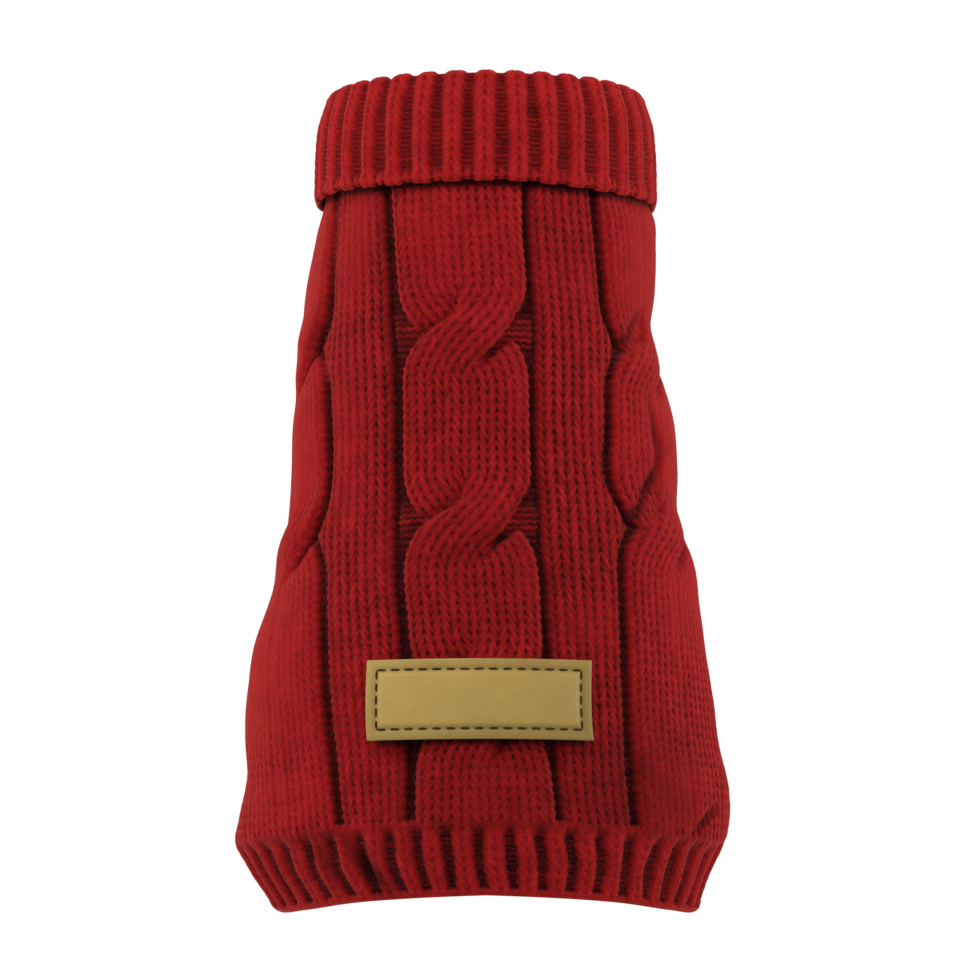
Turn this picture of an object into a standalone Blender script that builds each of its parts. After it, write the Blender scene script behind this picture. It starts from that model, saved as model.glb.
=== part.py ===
"""Cable-knit dog sweater, filled out as if it were worn, with its neck up and its hem down.

Frame: +Z runs from the hem to the neck, -Y is the side that lies along the dog's back, and +X is to the
right seen from there. The origin is in the middle of the neck tube, where a neck holds the garment.

All sizes are in millimetres; the meshes are made in metres. A place on the body is given by its height and by
its arc, the distance round the section from the middle of the back, positive towards +X. A lift is a distance
out from the crest of the plain knit.
"""

import math
from collections import namedtuple

import bmesh
import bpy
import numpy as np
from mathutils import Matrix, Vector

MM = 0.001
SEAM_GAP = 0.3

# The knit: one stitch across, and the lifts of the purl ditches and of the wall's plain inside.
STITCH = 5.1
DITCH_LIFT = -1.8
INNER_LIFT = -3.4

# Sections of the body, from the neck seam to the hem's edge. Half width is that of the outline seen from the
# back, and the depths run from the widest line to the middle of the back and to the middle of the belly.
Ring = namedtuple("Ring", "height half_width centre_x centre_y back_depth belly_depth")
BODY_RINGS = (
    Ring(-10.0, 50.2, 0.3, 0.0, 50.2, 50.2),
    Ring(-16.0, 50.6, 0.3, 0.0, 50.5, 50.5),
    Ring(-22.0, 51.0, 0.3, 0.0, 51.0, 50.9),
    Ring(-27.0, 52.3, 0.6, 0.1, 52.2, 52.2),
    Ring(-36.0, 53.8, 0.0, 0.4, 53.2, 53.8),
    Ring(-50.0, 54.9, -1.5, 0.8, 53.6, 55.6),
    Ring(-64.0, 54.6, -2.7, 1.2, 53.6, 57.2),
    Ring(-71.0, 55.0, -1.9, 1.4, 53.6, 57.9),
    Ring(-79.0, 57.2, -1.3, 1.5, 53.8, 58.8),
    Ring(-93.0, 60.1, -0.3, 1.6, 53.8, 59.8),
    Ring(-108.0, 60.8, 0.0, 1.6, 54.0, 60.2),
    Ring(-122.0, 61.4, -0.3, 1.5, 54.6, 60.2),
    Ring(-129.0, 63.1, 0.6, 1.4, 55.2, 60.0),
    Ring(-137.0, 65.3, 1.3, 1.2, 56.0, 59.8),
    Ring(-151.0, 68.5, 0.3, 1.0, 57.6, 59.4),
    Ring(-166.0, 72.1, -1.5, 0.8, 59.2, 59.0),
    Ring(-180.0, 74.4, -1.6, 0.6, 60.6, 58.6),
    Ring(-195.0, 75.8, -1.0, 0.4, 61.8, 58.4),
    Ring(-209.0, 77.2, 0.6, 0.2, 62.6, 58.2),
    Ring(-219.0, 78.2, -0.2, 0.0, 63.0, 57.8),
    Ring(-228.0, 77.7, -1.7, 0.0, 62.8, 57.0),
    Ring(-233.0, 75.1, -1.5, 0.1, 61.8, 56.2),
    Ring(-238.0, 72.5, -1.2, 0.2, 60.6, 55.0),
    Ring(-245.0, 68.9, 0.0, 0.4, 58.8, 53.6),
    Ring(-251.0, 66.2, 1.0, 0.6, 57.0, 52.4),
)

# How far the four ditches beside the plain strips lie to the side of the frame's middle, seen from the back.
Ditch = namedtuple("Ditch", "height outer_left inner_left inner_right outer_right")
DITCHES = (
    Ditch(-10.0, -46.4, -32.3, 12.0, 33.0),
    Ditch(-42.0, -48.6, -30.7, 13.4, 36.2),
    Ditch(-74.0, -50.6, -28.8, 15.0, 39.0),
    Ditch(-106.0, -49.9, -27.4, 16.0, 39.6),
    Ditch(-138.0, -51.2, -26.2, 17.9, 42.6),
    Ditch(-170.0, -50.9, -25.3, 19.5, 43.8),
    Ditch(-202.0, -48.0, -23.6, 21.3, 45.0),
    Ditch(-228.0, -45.0, -24.0, 23.7, 47.2),
)

# The back's pattern, in stitches from its middle line: three cables, each of two strands of four stitches,
# with strips of four plain stitches between them and a ditch of one purl stitch beside each cable.
CABLE_MIDDLES = (-14.0, 0.0, 14.0)
CABLE_HALF = 4.0
STRAND_HALF = 2.0
STRIP_MIDDLES = (-7.0, 7.0)
STRIP_HALF = 2.0
INNER_DITCH = 4.5
OUTER_DITCH = 9.5
SIDE_DITCH = 18.5
DITCH_HALF = 0.5
# The side seams' places in the pattern: the panel is widened evenly from neck to hem.
SEAM_AT_NECK = 19.3
SEAM_AT_HEM = 23.3

# Cables: the strands swap sides at each crossing, where the one from the right passes over.
CROSSING_PITCH = 60.3
SECOND_CROSSING = -71.0
CROSSINGS = tuple(SECOND_CROSSING + CROSSING_PITCH * turn for turn in (1, 0, -1, -2))
CROSSING_LENGTH = 32.0
BUMP_REACH = 12.0
LENS_LIFT = 1.2
LENS_MIDDLE_LIFT = 0.9
LENS_END_FALL = 6.0
OVER_LIFT = 1.9
UNDER_DIP = 2.8
CREASE_ROUNDING = 0.35
CROSSING_NARROWING = 0.12

# Under the turned-down collar the cloth is pressed flat.
PRESSED_ABOVE = -23.0
FREE_BELOW = -32.0
PRESSED_SHARE = 0.1

# The collar's wall, in section: its ribbed face from the free edge over the fold to the neck seam, and its
# plain face in the fold.
Section = namedtuple("Section", "radius height")
COLLAR_CREST = (
    Section(54.2, -22.4),
    Section(55.0, -21.2),
    Section(55.2, -16.0),
    Section(54.9, -5.0),
    Section(53.8, 4.5),
    Section(52.1, 9.6),
    Section(50.8, 13.0),
    Section(47.6, 14.5),
    Section(44.4, 13.0),
    Section(43.1, 9.6),
    Section(43.9, 1.0),
    Section(46.8, -8.6),
    Section(46.8, -9.85),
)
COLLAR_PLAIN = (
    Section(52.9, -21.8),
    Section(52.0, -12.0),
    Section(50.9, 0.8),
    Section(48.7, 9.6),
    Section(47.6, 10.9),
    Section(46.5, 9.6),
    Section(47.2, 1.0),
    Section(50.2, -9.85),
)
COLLAR_FOLD_START = 9.6
COLLAR_RIBS = 33
COLLAR_RIB_DEPTH = 1.7
COLLAR_CENTRE_X = 0.2
COLLAR_FIRST_GROOVE = math.radians(6.0)
# The turned-down edge hangs a little lower on the right, and waves a little.
COLLAR_EDGE_TILT = 0.8
COLLAR_EDGE_WAVE = 0.35
COLLAR_EDGE_WAVES = 5

# The hem: its edge runs level across the back and rises under the belly. Share is the share of the way from
# the middle of the back to the middle of the belly.
HemEdge = namedtuple("HemEdge", "height share")
HEM_EDGE = (
    HemEdge(-248.4, 0.0),
    HemEdge(-248.8, 0.22),
    HemEdge(-250.0, 0.36),
    HemEdge(-249.0, 0.48),
    HemEdge(-240.0, 0.62),
    HemEdge(-222.0, 0.78),
    HemEdge(-213.8, 0.93),
    HemEdge(-213.0, 1.0),
)
HEM_DEPTH = 23.0
HEM_RIBS = 43
HEM_RIB_DEPTH = 1.8
# Rows of the hem band's outer face, by their share of the way down. Near its edge the grooves fill out and
# the cloth rolls in.
HemRow = namedtuple("HemRow", "down groove roll")
HEM_ROWS = (
    HemRow(0.0, 1.0, 0.0),
    HemRow(0.35, 1.0, 0.0),
    HemRow(0.70, 1.0, 0.0),
    HemRow(0.89, 1.0, 0.0),
    HemRow(0.93, 0.35, 0.0),
    HemRow(1.0, 0.35, 0.9),
)

# The leg openings, through the belly panel on the slant, and the ribbed bands that stand in them. A band's
# sections are given by how far they are out from the cloth's crest and how much narrower than the opening.
LEG_HEIGHT = -98.0
LEG_FROM_BACK = math.radians(140.0)
LEG_OUTWARD = 0.55
LEG_HALF_WIDTH = 16.0
LEG_HALF_HEIGHT = 22.0
LEG_CUTTER_LENGTH = 80.0
LEG_BAND_WALL = 3.0
LEG_RIBS = 14
LEG_RIB_DEPTH = 1.3
BandRow = namedtuple("BandRow", "out inset")
LEG_BAND_OUTER = (
    BandRow(INNER_LIFT, 0.0),
    BandRow(0.8, 0.0),
    BandRow(7.2, 0.6),
    BandRow(11.0, 0.9),
    BandRow(12.0, 1.8),
)
LEG_BAND_INNER = (
    BandRow(INNER_LIFT, 0.0),
    BandRow(7.2, 0.6),
    BandRow(11.7, 0.9),
)

# The stitched patch low on the back, bent to the cloth under it.
LABEL_WIDTH = 69.0
LABEL_HEIGHT = 25.3
LABEL_MIDDLE_X = -1.9
LABEL_MIDDLE_HEIGHT = -186.8
LABEL_THICKNESS = 1.4
LABEL_LIFT = 3.4

# How fine the meshes are. Panel rows lie closer together over the crossings.
PANEL_ROWS = 43
CROSSING_CLOSENESS = 1.3
CABLE_COLUMNS = 15
BACK_INNER_COLUMNS = 13
BELLY_COLUMNS = 19
COLUMNS_PER_RIB = 3
LABEL_COLUMNS = 17
LABEL_ROWS = 5
ARC_STEPS = 145
SETTLING_ROUNDS = 4
HALVINGS = 40

RED = (0.42, 0.018, 0.018, 1.0)
DARK_RED = (0.33, 0.012, 0.013, 1.0)
TAN = (0.42, 0.30, 0.11, 1.0)


def smooth_column(table, name, at, key="height"):
    """A table's column, read along a smooth curve through its rows at any value of the key column."""
    rows = sorted(table, key=lambda row: getattr(row, key))
    keys = np.array([getattr(row, key) for row in rows])
    values = np.array([getattr(row, name) for row in rows])
    slopes = np.gradient(values, keys)
    at = np.clip(np.asarray(at, float), keys[0], keys[-1])
    i = np.clip(np.searchsorted(keys, at) - 1, 0, len(keys) - 2)
    span = keys[i + 1] - keys[i]
    t = (at - keys[i]) / span
    start = values[i] * (1 + 2 * t) * (1 - t) ** 2 + slopes[i] * span * t * (1 - t) ** 2
    end = values[i + 1] * (3 - 2 * t) * t**2 - slopes[i + 1] * span * (1 - t) * t**2
    return start + end


def ease(share):
    """A smooth step from 0 to 1."""
    share = np.clip(share, 0.0, 1.0)
    return share * share * (3.0 - 2.0 * share)


def section(heights, angles):
    """The x and y of the outline at an angle from the middle of the back, and of its outward normal."""
    half_width = smooth_column(BODY_RINGS, "half_width", heights)
    back_depth = smooth_column(BODY_RINGS, "back_depth", heights)
    belly_depth = smooth_column(BODY_RINGS, "belly_depth", heights)
    depth = np.where(np.cos(angles) > 0, back_depth, belly_depth)
    x = smooth_column(BODY_RINGS, "centre_x", heights) + half_width * np.sin(angles)
    y = smooth_column(BODY_RINGS, "centre_y", heights) - depth * np.cos(angles)
    normal_x = np.sin(angles) / half_width
    normal_y = -np.cos(angles) / depth
    length = np.hypot(normal_x, normal_y)
    return x, y, normal_x / length, normal_y / length


def arc_table(heights):
    """Angles from the middle of the back to that of the belly, and the arc up to each one at each height."""
    angles = np.linspace(0.0, math.pi, ARC_STEPS)
    x, y, _, _ = section(np.asarray(heights, float)[:, None], angles[None, :])
    steps = np.hypot(np.diff(x, axis=1), np.diff(y, axis=1))
    return angles, np.concatenate([np.zeros((len(steps), 1)), np.cumsum(steps, axis=1)], axis=1)


def half_girth(heights):
    """Half the way round the body."""
    heights = np.asarray(heights, float)
    return arc_table(heights.ravel())[1][:, -1].reshape(heights.shape)


def body_points(heights, arcs, lifts):
    """Points on the body's cloth, as an array that ends in (x, y, z)."""
    heights, arcs, lifts = np.broadcast_arrays(heights, arcs, lifts)
    angles, along = arc_table(heights.ravel())
    found = [np.interp(abs(arc), row, angles) for arc, row in zip(arcs.ravel(), along)]
    turned = np.reshape(found, arcs.shape) * np.sign(arcs)
    x, y, normal_x, normal_y = section(heights, turned)
    return np.stack([x + lifts * normal_x, y + lifts * normal_y, heights], axis=-1)


def arc_of_side_offset(heights, offsets):
    """The arc at which the outline lies this far to the side of the middle of the back."""
    half_width = smooth_column(BODY_RINGS, "half_width", heights)
    centre_x = smooth_column(BODY_RINGS, "centre_x", heights)
    wanted = np.arcsin(np.clip((offsets - centre_x) / half_width, -1.0, 1.0))
    angles, along = arc_table(heights)
    found = [np.interp(abs(angle), angles, row) for angle, row in zip(wanted, along)]
    return np.array(found) * np.sign(wanted)


def arc_of_stitch(heights, stitches):
    """The arc of a place in the back's pattern, counted in stitches from the pattern's middle line."""
    heights, stitches = np.broadcast_arrays(heights, stitches)
    flat = heights.ravel()
    ditches = [
        arc_of_side_offset(flat, smooth_column(DITCHES, name, flat))
        for name in ("outer_left", "inner_left", "inner_right", "outer_right")
    ]
    places = np.array([-OUTER_DITCH, -INNER_DITCH, INNER_DITCH, OUTER_DITCH])
    beyond = np.clip(np.abs(stitches.ravel()) - OUTER_DITCH, 0.0, None) * np.sign(stitches.ravel())
    inside = [np.interp(u, places, arcs) for u, arcs in zip(stitches.ravel(), np.transpose(ditches))]
    return (np.array(inside) + beyond * STITCH).reshape(heights.shape)


def seam_stitches(heights):
    """The right side seam's place in the pattern. The left one is its mirror image."""
    share = (BODY_RINGS[0].height - heights) / (BODY_RINGS[0].height - HEM_EDGE[0].height)
    return SEAM_AT_NECK + (SEAM_AT_HEM - SEAM_AT_NECK) * np.clip(share, 0.0, 1.0)


def hem_edge_height(shares):
    """The height of the hem's edge, at a share of the way from the back's middle to the belly's."""
    return smooth_column(HEM_EDGE, "height", np.abs(shares), key="share")


def first_strand_side(heights):
    """Which side a cable's first strand is on: 1 right, -1 left, and between them in a crossing."""
    side = np.ones_like(np.asarray(heights, float))
    for crossing in CROSSINGS:
        side = side * (1.0 - 2.0 * ease((crossing - heights) / CROSSING_LENGTH + 0.5))
    return side


def crossing_lift(heights, first):
    """How much a strand rises where it passes over, less how much it dips where it passes under."""
    lift = np.zeros_like(np.asarray(heights, float))
    for number, crossing in enumerate(CROSSINGS):
        over = (number % 2 == 0) == first
        near = np.exp(-(((heights - crossing) / BUMP_REACH) ** 2))
        lift = lift + near * (OVER_LIFT if over else -UNDER_DIP)
    return lift


def raised(across, half, top):
    """Lift of a band of knit with rounded sides that stands out of the ditches."""
    share = np.clip(np.abs(across) / half, 0.0, 1.0)
    return DITCH_LIFT + (top - DITCH_LIFT) * (1.0 - share**4)


def higher(first, second):
    """The higher of two lifts, with the crease between them rounded."""
    return CREASE_ROUNDING * (np.logaddexp(first / CREASE_ROUNDING, second / CREASE_ROUNDING) - math.log(2.0))


def cable_lift(across, heights):
    """Lift of a cable's surface, at a distance in stitches from its middle line."""
    side = first_strand_side(heights)
    step = 1.0
    change = first_strand_side(heights + step / 2) - first_strand_side(heights - step / 2)
    slant = np.clip(np.abs(change) / step * STRAND_HALF * STITCH, 0.0, 1.0)
    half = STRAND_HALF * np.sqrt(1.0 + slant**2) * (1.0 - CROSSING_NARROWING * slant)
    first = raised(across - side * STRAND_HALF, half, LENS_LIFT + crossing_lift(heights, True))
    second = raised(across + side * STRAND_HALF, half, LENS_LIFT + crossing_lift(heights, False))
    lens = raised(across, CABLE_HALF, LENS_MIDDLE_LIFT) - LENS_END_FALL * (1.0 - np.abs(side))
    return np.maximum(higher(first, second), lens)


def back_lift(stitches, heights):
    """Lift of the back panel's outer face over its pattern of cables, plain strips and ditches."""
    lift = np.full(np.broadcast(stitches, heights).shape, DITCH_LIFT)
    for middle in CABLE_MIDDLES:
        lift = np.maximum(lift, cable_lift(stitches - middle, heights))
    for middle in STRIP_MIDDLES:
        lift = np.maximum(lift, raised(stitches - middle, STRIP_HALF, 0.0))
    beyond_ditch = np.abs(stitches) - SIDE_DITCH - DITCH_HALF
    lift = np.maximum(lift, DITCH_LIFT * (1.0 - np.clip(beyond_ditch / DITCH_HALF, 0.0, 1.0)))
    free = ease((PRESSED_ABOVE - heights) / (PRESSED_ABOVE - FREE_BELOW))
    return lift * np.where(lift > 0, PRESSED_SHARE + (1.0 - PRESSED_SHARE) * free, 1.0)


def zip_edges(mesh, first, second):
    """Triangles between two runs of vertices that start and end side by side."""
    i = j = 0
    while i < len(first) - 1 or j < len(second) - 1:
        first_next = (i + 1) / (len(first) - 1)
        second_next = (j + 1) / (len(second) - 1)
        if j == len(second) - 1 or (i < len(first) - 1 and first_next <= second_next):
            mesh.faces.new((first[i], first[i + 1], second[j]))
            i += 1
        else:
            mesh.faces.new((first[i], second[j + 1], second[j]))
            j += 1


def add_grid(mesh, points, closed):
    """Vertices and quads of a grid of points in rows. Each row of a closed grid ends where it starts."""
    rows = [[mesh.verts.new(Vector(point) * MM) for point in row] for row in points]
    if closed:
        rows = [[*row, row[0]] for row in rows]
    for upper, lower in zip(rows, rows[1:]):
        for k in range(len(upper) - 1):
            mesh.faces.new((upper[k], lower[k], lower[k + 1], upper[k + 1]))
    return rows


def cloth_wall(name, outer, inner, closed, colour, roughness=0.95):
    """A closed wall between two grids of unlike fineness. Open grids are joined along all four sides."""
    mesh = bmesh.new()
    outer_rows = add_grid(mesh, outer, closed)
    inner_rows = add_grid(mesh, inner, closed)
    zip_edges(mesh, outer_rows[0], inner_rows[0])
    zip_edges(mesh, outer_rows[-1], inner_rows[-1])
    if not closed:
        for side in (0, -1):
            zip_edges(mesh, [row[side] for row in outer_rows], [row[side] for row in inner_rows])
    bmesh.ops.recalc_face_normals(mesh, faces=mesh.faces)
    return finished_object(name, mesh, colour, roughness)


def finished_object(name, mesh, colour, roughness):
    """An object with its own material, made from a bmesh and put in the sweater's collection."""
    data = bpy.data.meshes.new(name)
    mesh.to_mesh(data)
    mesh.free()
    material = bpy.data.materials.new(name)
    material.use_nodes = True
    shader = material.node_tree.nodes["Principled BSDF"]
    shader.inputs["Base Color"].default_value = colour
    shader.inputs["Roughness"].default_value = roughness
    shader.inputs["Metallic"].default_value = 0.0
    data.materials.append(material)
    data.shade_smooth()
    made = bpy.data.objects.new(name, data)
    bpy.data.collections["dog_sweater"].objects.link(made)
    return made


def pattern_columns():
    """Places of the back's columns out to the side ditches, in stitches: close over cables and ditches."""
    cable = np.linspace(-CABLE_HALF, CABLE_HALF, CABLE_COLUMNS)
    strip = STRIP_HALF * np.array([-1.0, -0.85, 0.0, 0.85, 1.0])
    parts = [middle + cable for middle in CABLE_MIDDLES] + [middle + strip for middle in STRIP_MIDDLES]
    ditches = np.array([INNER_DITCH, OUTER_DITCH, SIDE_DITCH, SIDE_DITCH + DITCH_HALF])
    return np.sort(np.concatenate([*parts, ditches, -ditches]))


def back_places(heights):
    """Places of the outer columns on rows at these heights, with two columns beyond each side ditch."""
    inside = np.broadcast_to(pattern_columns(), (len(heights), len(pattern_columns())))
    last = inside[:, -1:]
    seam = seam_stitches(heights[:, :1])
    return np.concatenate([-seam, -(seam + last) / 2, inside, (seam + last) / 2, seam], axis=1)


def row_shares():
    """Shares of the way down a panel for its rows, which lie closer together over the crossings."""
    shares = np.linspace(0.0, 1.0, 400)
    heights = BODY_RINGS[0].height + shares * (HEM_EDGE[0].height + HEM_DEPTH - BODY_RINGS[0].height)
    closeness = np.ones_like(shares)
    for crossing in CROSSINGS[1:]:
        closeness += CROSSING_CLOSENESS * np.exp(-((2.0 * (heights - crossing) / CROSSING_LENGTH) ** 2))
    rows_above = np.cumsum(closeness) - closeness[0]
    return np.interp(np.linspace(0.0, rows_above[-1], PANEL_ROWS), rows_above, shares)[:, None]


def panel_heights(shares_round):
    """Heights of a panel's rows, from the neck seam down to the hem band's seam."""
    top = BODY_RINGS[0].height - SEAM_GAP / 2
    bottom = hem_edge_height(shares_round) + HEM_DEPTH + SEAM_GAP / 2
    return top + row_shares() * (bottom - top)


def panel_grid(arcs_at, columns):
    """Heights and arcs over a panel. A row's height follows the hem, so heights and arcs settle together."""
    heights = panel_heights(np.zeros((1, columns)))
    for _ in range(SETTLING_ROUNDS):
        arcs = arcs_at(heights)
        heights = panel_heights(arcs / half_girth(heights))
    return heights, arcs_at(heights)


def make_back_panel():
    """The back, with three cables raised on its outer face over a plain inside."""
    columns = len(pattern_columns()) + 4
    heights, arcs = panel_grid(lambda at: arc_of_stitch(at, back_places(at)), columns)
    outer = body_points(heights, arcs, back_lift(back_places(heights), heights))
    shares = np.linspace(-1.0, 1.0, BACK_INNER_COLUMNS)
    heights, arcs = panel_grid(lambda at: arc_of_stitch(at, shares * seam_stitches(at)), BACK_INNER_COLUMNS)
    inner = body_points(heights, arcs, INNER_LIFT)
    return cloth_wall("back_panel", outer, inner, False, RED)


def belly_arcs(heights):
    """Arcs across the belly panel, from the right side seam round to the left one, at most half the girth."""
    half = half_girth(heights)
    right = arc_of_stitch(heights, seam_stitches(heights)) + SEAM_GAP
    left = arc_of_stitch(heights, -seam_stitches(heights)) - SEAM_GAP
    arcs = right + np.linspace(0.0, 1.0, BELLY_COLUMNS) * (left + 2.0 * half - right)
    return np.where(arcs > half, arcs - 2.0 * half, arcs)


def leg_frame(side):
    """A leg opening's middle on the cloth, its axis out of the body, and the level direction across it."""
    x, y, _, _ = section(np.array([LEG_HEIGHT]), np.array([side * LEG_FROM_BACK]))
    axis = Vector((side * LEG_OUTWARD, 1.0, 0.0)).normalized()
    across = Vector((0.0, 0.0, 1.0)).cross(axis)
    return Vector((x[0], y[0], LEG_HEIGHT)), axis, across


def inside_body(point):
    """Whether a point lies within the crest of the body's cloth."""
    name = "belly_depth" if point.y > smooth_column(BODY_RINGS, "centre_y", point.z) else "back_depth"
    aside = (point.x - smooth_column(BODY_RINGS, "centre_x", point.z)) / smooth_column(
        BODY_RINGS, "half_width", point.z
    )
    behind = (point.y - smooth_column(BODY_RINGS, "centre_y", point.z)) / smooth_column(
        BODY_RINGS, name, point.z
    )
    return aside**2 + behind**2 < 1.0


def where_cloth_crests(point, axis):
    """Where a line through a point near the belly, along the axis, passes out through the cloth's crest."""
    inside, outside = -LEG_CUTTER_LENGTH / 2, LEG_CUTTER_LENGTH / 2
    for _ in range(HALVINGS):
        middle = (inside + outside) / 2
        if inside_body(point + axis * middle):
            inside = middle
        else:
            outside = middle
    return point + axis * inside


def make_leg_cutter(side):
    """An oval bar along the leg's axis that cuts its opening in the belly panel."""
    middle, axis, across = leg_frame(side)
    mesh = bmesh.new()
    bmesh.ops.create_cone(mesh, cap_ends=True, segments=40, radius1=1.0, radius2=1.0, depth=1.0)
    up = Vector((0.0, 0.0, 1.0))
    turn = Matrix((across, up, axis)).transposed().to_4x4()
    sizes = Matrix.Diagonal((LEG_HALF_WIDTH * MM, LEG_HALF_HEIGHT * MM, LEG_CUTTER_LENGTH * MM, 1.0))
    mesh.transform(Matrix.Translation(middle * MM) @ turn @ sizes)
    data = bpy.data.meshes.new("leg_cutter")
    mesh.to_mesh(data)
    mesh.free()
    cutter = bpy.data.objects.new("leg_cutter", data)
    cutter.hide_render = True
    cutter.display_type = "WIRE"
    bpy.data.collections["cutters"].objects.link(cutter)
    return cutter


def make_belly_panel():
    """The plain under half, with the two leg openings cut through its wall."""
    heights, arcs = panel_grid(belly_arcs, BELLY_COLUMNS)
    outer = body_points(heights, arcs, 0.0)
    inner = body_points(heights, arcs, INNER_LIFT)
    belly = cloth_wall("belly_panel", outer, inner, False, DARK_RED)
    for side in (-1, 1):
        cut = belly.modifiers.new("leg_opening", "BOOLEAN")
        cut.operation = "DIFFERENCE"
        cut.object = make_leg_cutter(side)
    return belly


def rib_wave(columns, ribs):
    """1 on the ribs and 0 in the grooves between them, the first of which is the first column."""
    phase = np.arange(columns) * ribs / columns
    return np.where(np.abs((phase + 0.5) % 1.0 - 0.5) < 0.2, 0.0, 1.0)


def make_leg_band(name, side):
    """A short ribbed tube that stands in a leg opening, its inner end along the panel's inner face."""
    middle, axis, across = leg_frame(side)
    up = Vector((0.0, 0.0, 1.0))
    columns = LEG_RIBS * COLUMNS_PER_RIB
    angles = np.arange(columns) * 2 * math.pi / columns

    def ring(row, depths):
        points = []
        for angle, depth in zip(angles, depths):
            aside = across * math.cos(angle)
            above = up * math.sin(angle)
            crest = where_cloth_crests(middle + aside * LEG_HALF_WIDTH + above * LEG_HALF_HEIGHT, axis)
            points.append(crest + axis * row.out - (aside + above) * (SEAM_GAP + row.inset + depth))
        return points

    grooves = LEG_RIB_DEPTH * (1.0 - rib_wave(columns, LEG_RIBS))
    wall = np.full(columns, LEG_BAND_WALL)
    outer = [ring(row, grooves) for row in LEG_BAND_OUTER]
    inner = [ring(row, wall) for row in LEG_BAND_INNER]
    return cloth_wall(name, outer, inner, True, RED)


def collar_ring(profile, place, grooves):
    """Points round the collar at one place of a profile, with rib grooves of these depths."""
    angles = COLLAR_FIRST_GROOVE + np.arange(len(grooves)) * 2 * math.pi / len(grooves)
    before = profile[max(place - 1, 0)]
    after = profile[min(place + 1, len(profile) - 1)]
    length = math.hypot(after.height - before.height, after.radius - before.radius)
    radii = profile[place].radius - grooves * (after.height - before.height) / length
    heights = profile[place].height + grooves * (after.radius - before.radius) / length
    if place < len(profile) / 2:
        hanging = ease((COLLAR_FOLD_START - profile[place].height) / (COLLAR_FOLD_START - profile[0].height))
        wave = COLLAR_EDGE_WAVE * np.sin(COLLAR_EDGE_WAVES * angles + 1.0)
        heights = heights + hanging * (wave - COLLAR_EDGE_TILT * np.sin(angles))
    return np.stack([COLLAR_CENTRE_X + radii * np.sin(angles), -radii * np.cos(angles), heights], axis=-1)


def make_collar():
    """The ribbed neck tube, folded down outside itself: one wall bent over at the top."""
    columns = COLLAR_RIBS * COLUMNS_PER_RIB
    grooves = COLLAR_RIB_DEPTH * (1.0 - rib_wave(columns, COLLAR_RIBS))
    crest = [collar_ring(COLLAR_CREST, place, grooves) for place in range(len(COLLAR_CREST))]
    smooth = np.zeros(COLLAR_RIBS)
    plain = [collar_ring(COLLAR_PLAIN, place, smooth) for place in range(len(COLLAR_PLAIN))]
    return cloth_wall("collar", crest, plain, True, RED)


def hem_ring(count, down, lifts):
    """Points round the hem band at a share of the way down it."""
    shares = (np.arange(count) / count + 0.5) % 1.0 * 2.0 - 1.0
    top = hem_edge_height(shares) + HEM_DEPTH - SEAM_GAP / 2
    heights = top + (hem_edge_height(shares) - top) * down
    return body_points(heights, shares * half_girth(heights), lifts)


def make_hem_band():
    """The ribbed band round the bottom edge, with a thin roll along its cast-on edge."""
    columns = HEM_RIBS * COLUMNS_PER_RIB
    grooves = HEM_RIB_DEPTH * (1.0 - rib_wave(columns, HEM_RIBS))
    outer = [hem_ring(columns, row.down, -row.groove * grooves - row.roll) for row in HEM_ROWS]
    inner = [hem_ring(HEM_RIBS, down, INNER_LIFT) for down in (0.0, 0.5, 1.0)]
    return cloth_wall("hem_band", outer, inner, True, RED)


def make_label():
    """The patch: a thin bent plate over the crests of the cloth it is sewn to."""
    middle = arc_of_side_offset(np.array([LABEL_MIDDLE_HEIGHT]), np.array([LABEL_MIDDLE_X]))[0]
    arcs = middle + LABEL_WIDTH * np.linspace(-0.5, 0.5, LABEL_COLUMNS)
    heights = LABEL_MIDDLE_HEIGHT + LABEL_HEIGHT * np.linspace(0.5, -0.5, LABEL_ROWS)[:, None]
    mesh = bmesh.new()
    add_grid(mesh, body_points(heights, arcs, LABEL_LIFT + LABEL_THICKNESS), False)
    label = finished_object("label", mesh, TAN, 0.55)
    plate = label.modifiers.new("plate", "SOLIDIFY")
    plate.thickness = LABEL_THICKNESS * MM
    plate.offset = -1.0
    return label


def main():
    for old in list(bpy.data.objects):
        bpy.data.objects.remove(old)
    for name in ("dog_sweater", "cutters"):
        collection = bpy.data.collections.new(name)
        bpy.context.scene.collection.children.link(collection)
    make_collar()
    make_back_panel()
    make_belly_panel()
    make_leg_band("leg_band_left", -1)
    make_leg_band("leg_band_right", 1)
    make_hem_band()
    make_label()


main()
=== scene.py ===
import math
from collections import namedtuple

import bpy
import numpy as np
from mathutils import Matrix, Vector


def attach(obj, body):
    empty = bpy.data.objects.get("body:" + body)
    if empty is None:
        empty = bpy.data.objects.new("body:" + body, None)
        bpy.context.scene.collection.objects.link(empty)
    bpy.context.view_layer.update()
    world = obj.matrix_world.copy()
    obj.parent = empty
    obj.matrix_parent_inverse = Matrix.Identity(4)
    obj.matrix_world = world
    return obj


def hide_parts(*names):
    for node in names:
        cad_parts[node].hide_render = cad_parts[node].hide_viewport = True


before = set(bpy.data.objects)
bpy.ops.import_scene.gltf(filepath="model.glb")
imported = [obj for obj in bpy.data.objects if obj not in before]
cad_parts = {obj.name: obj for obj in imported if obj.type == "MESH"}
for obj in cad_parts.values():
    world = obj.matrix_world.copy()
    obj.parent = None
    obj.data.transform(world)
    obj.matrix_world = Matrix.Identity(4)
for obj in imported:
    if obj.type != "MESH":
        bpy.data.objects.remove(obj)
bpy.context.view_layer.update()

# The sweater's knit, built stitch by stitch on the form of its solids. Sizes are in millimetres. A place on
# the body is given as in the solids: by its height and by its arc, the distance round the section from the
# middle of the back. A lift is a distance out from the crest of the plain knit.
MM = 0.001
TURN = 2.0 * math.pi
STITCH = 5.1
SEAM_GAP = 0.3
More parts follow.
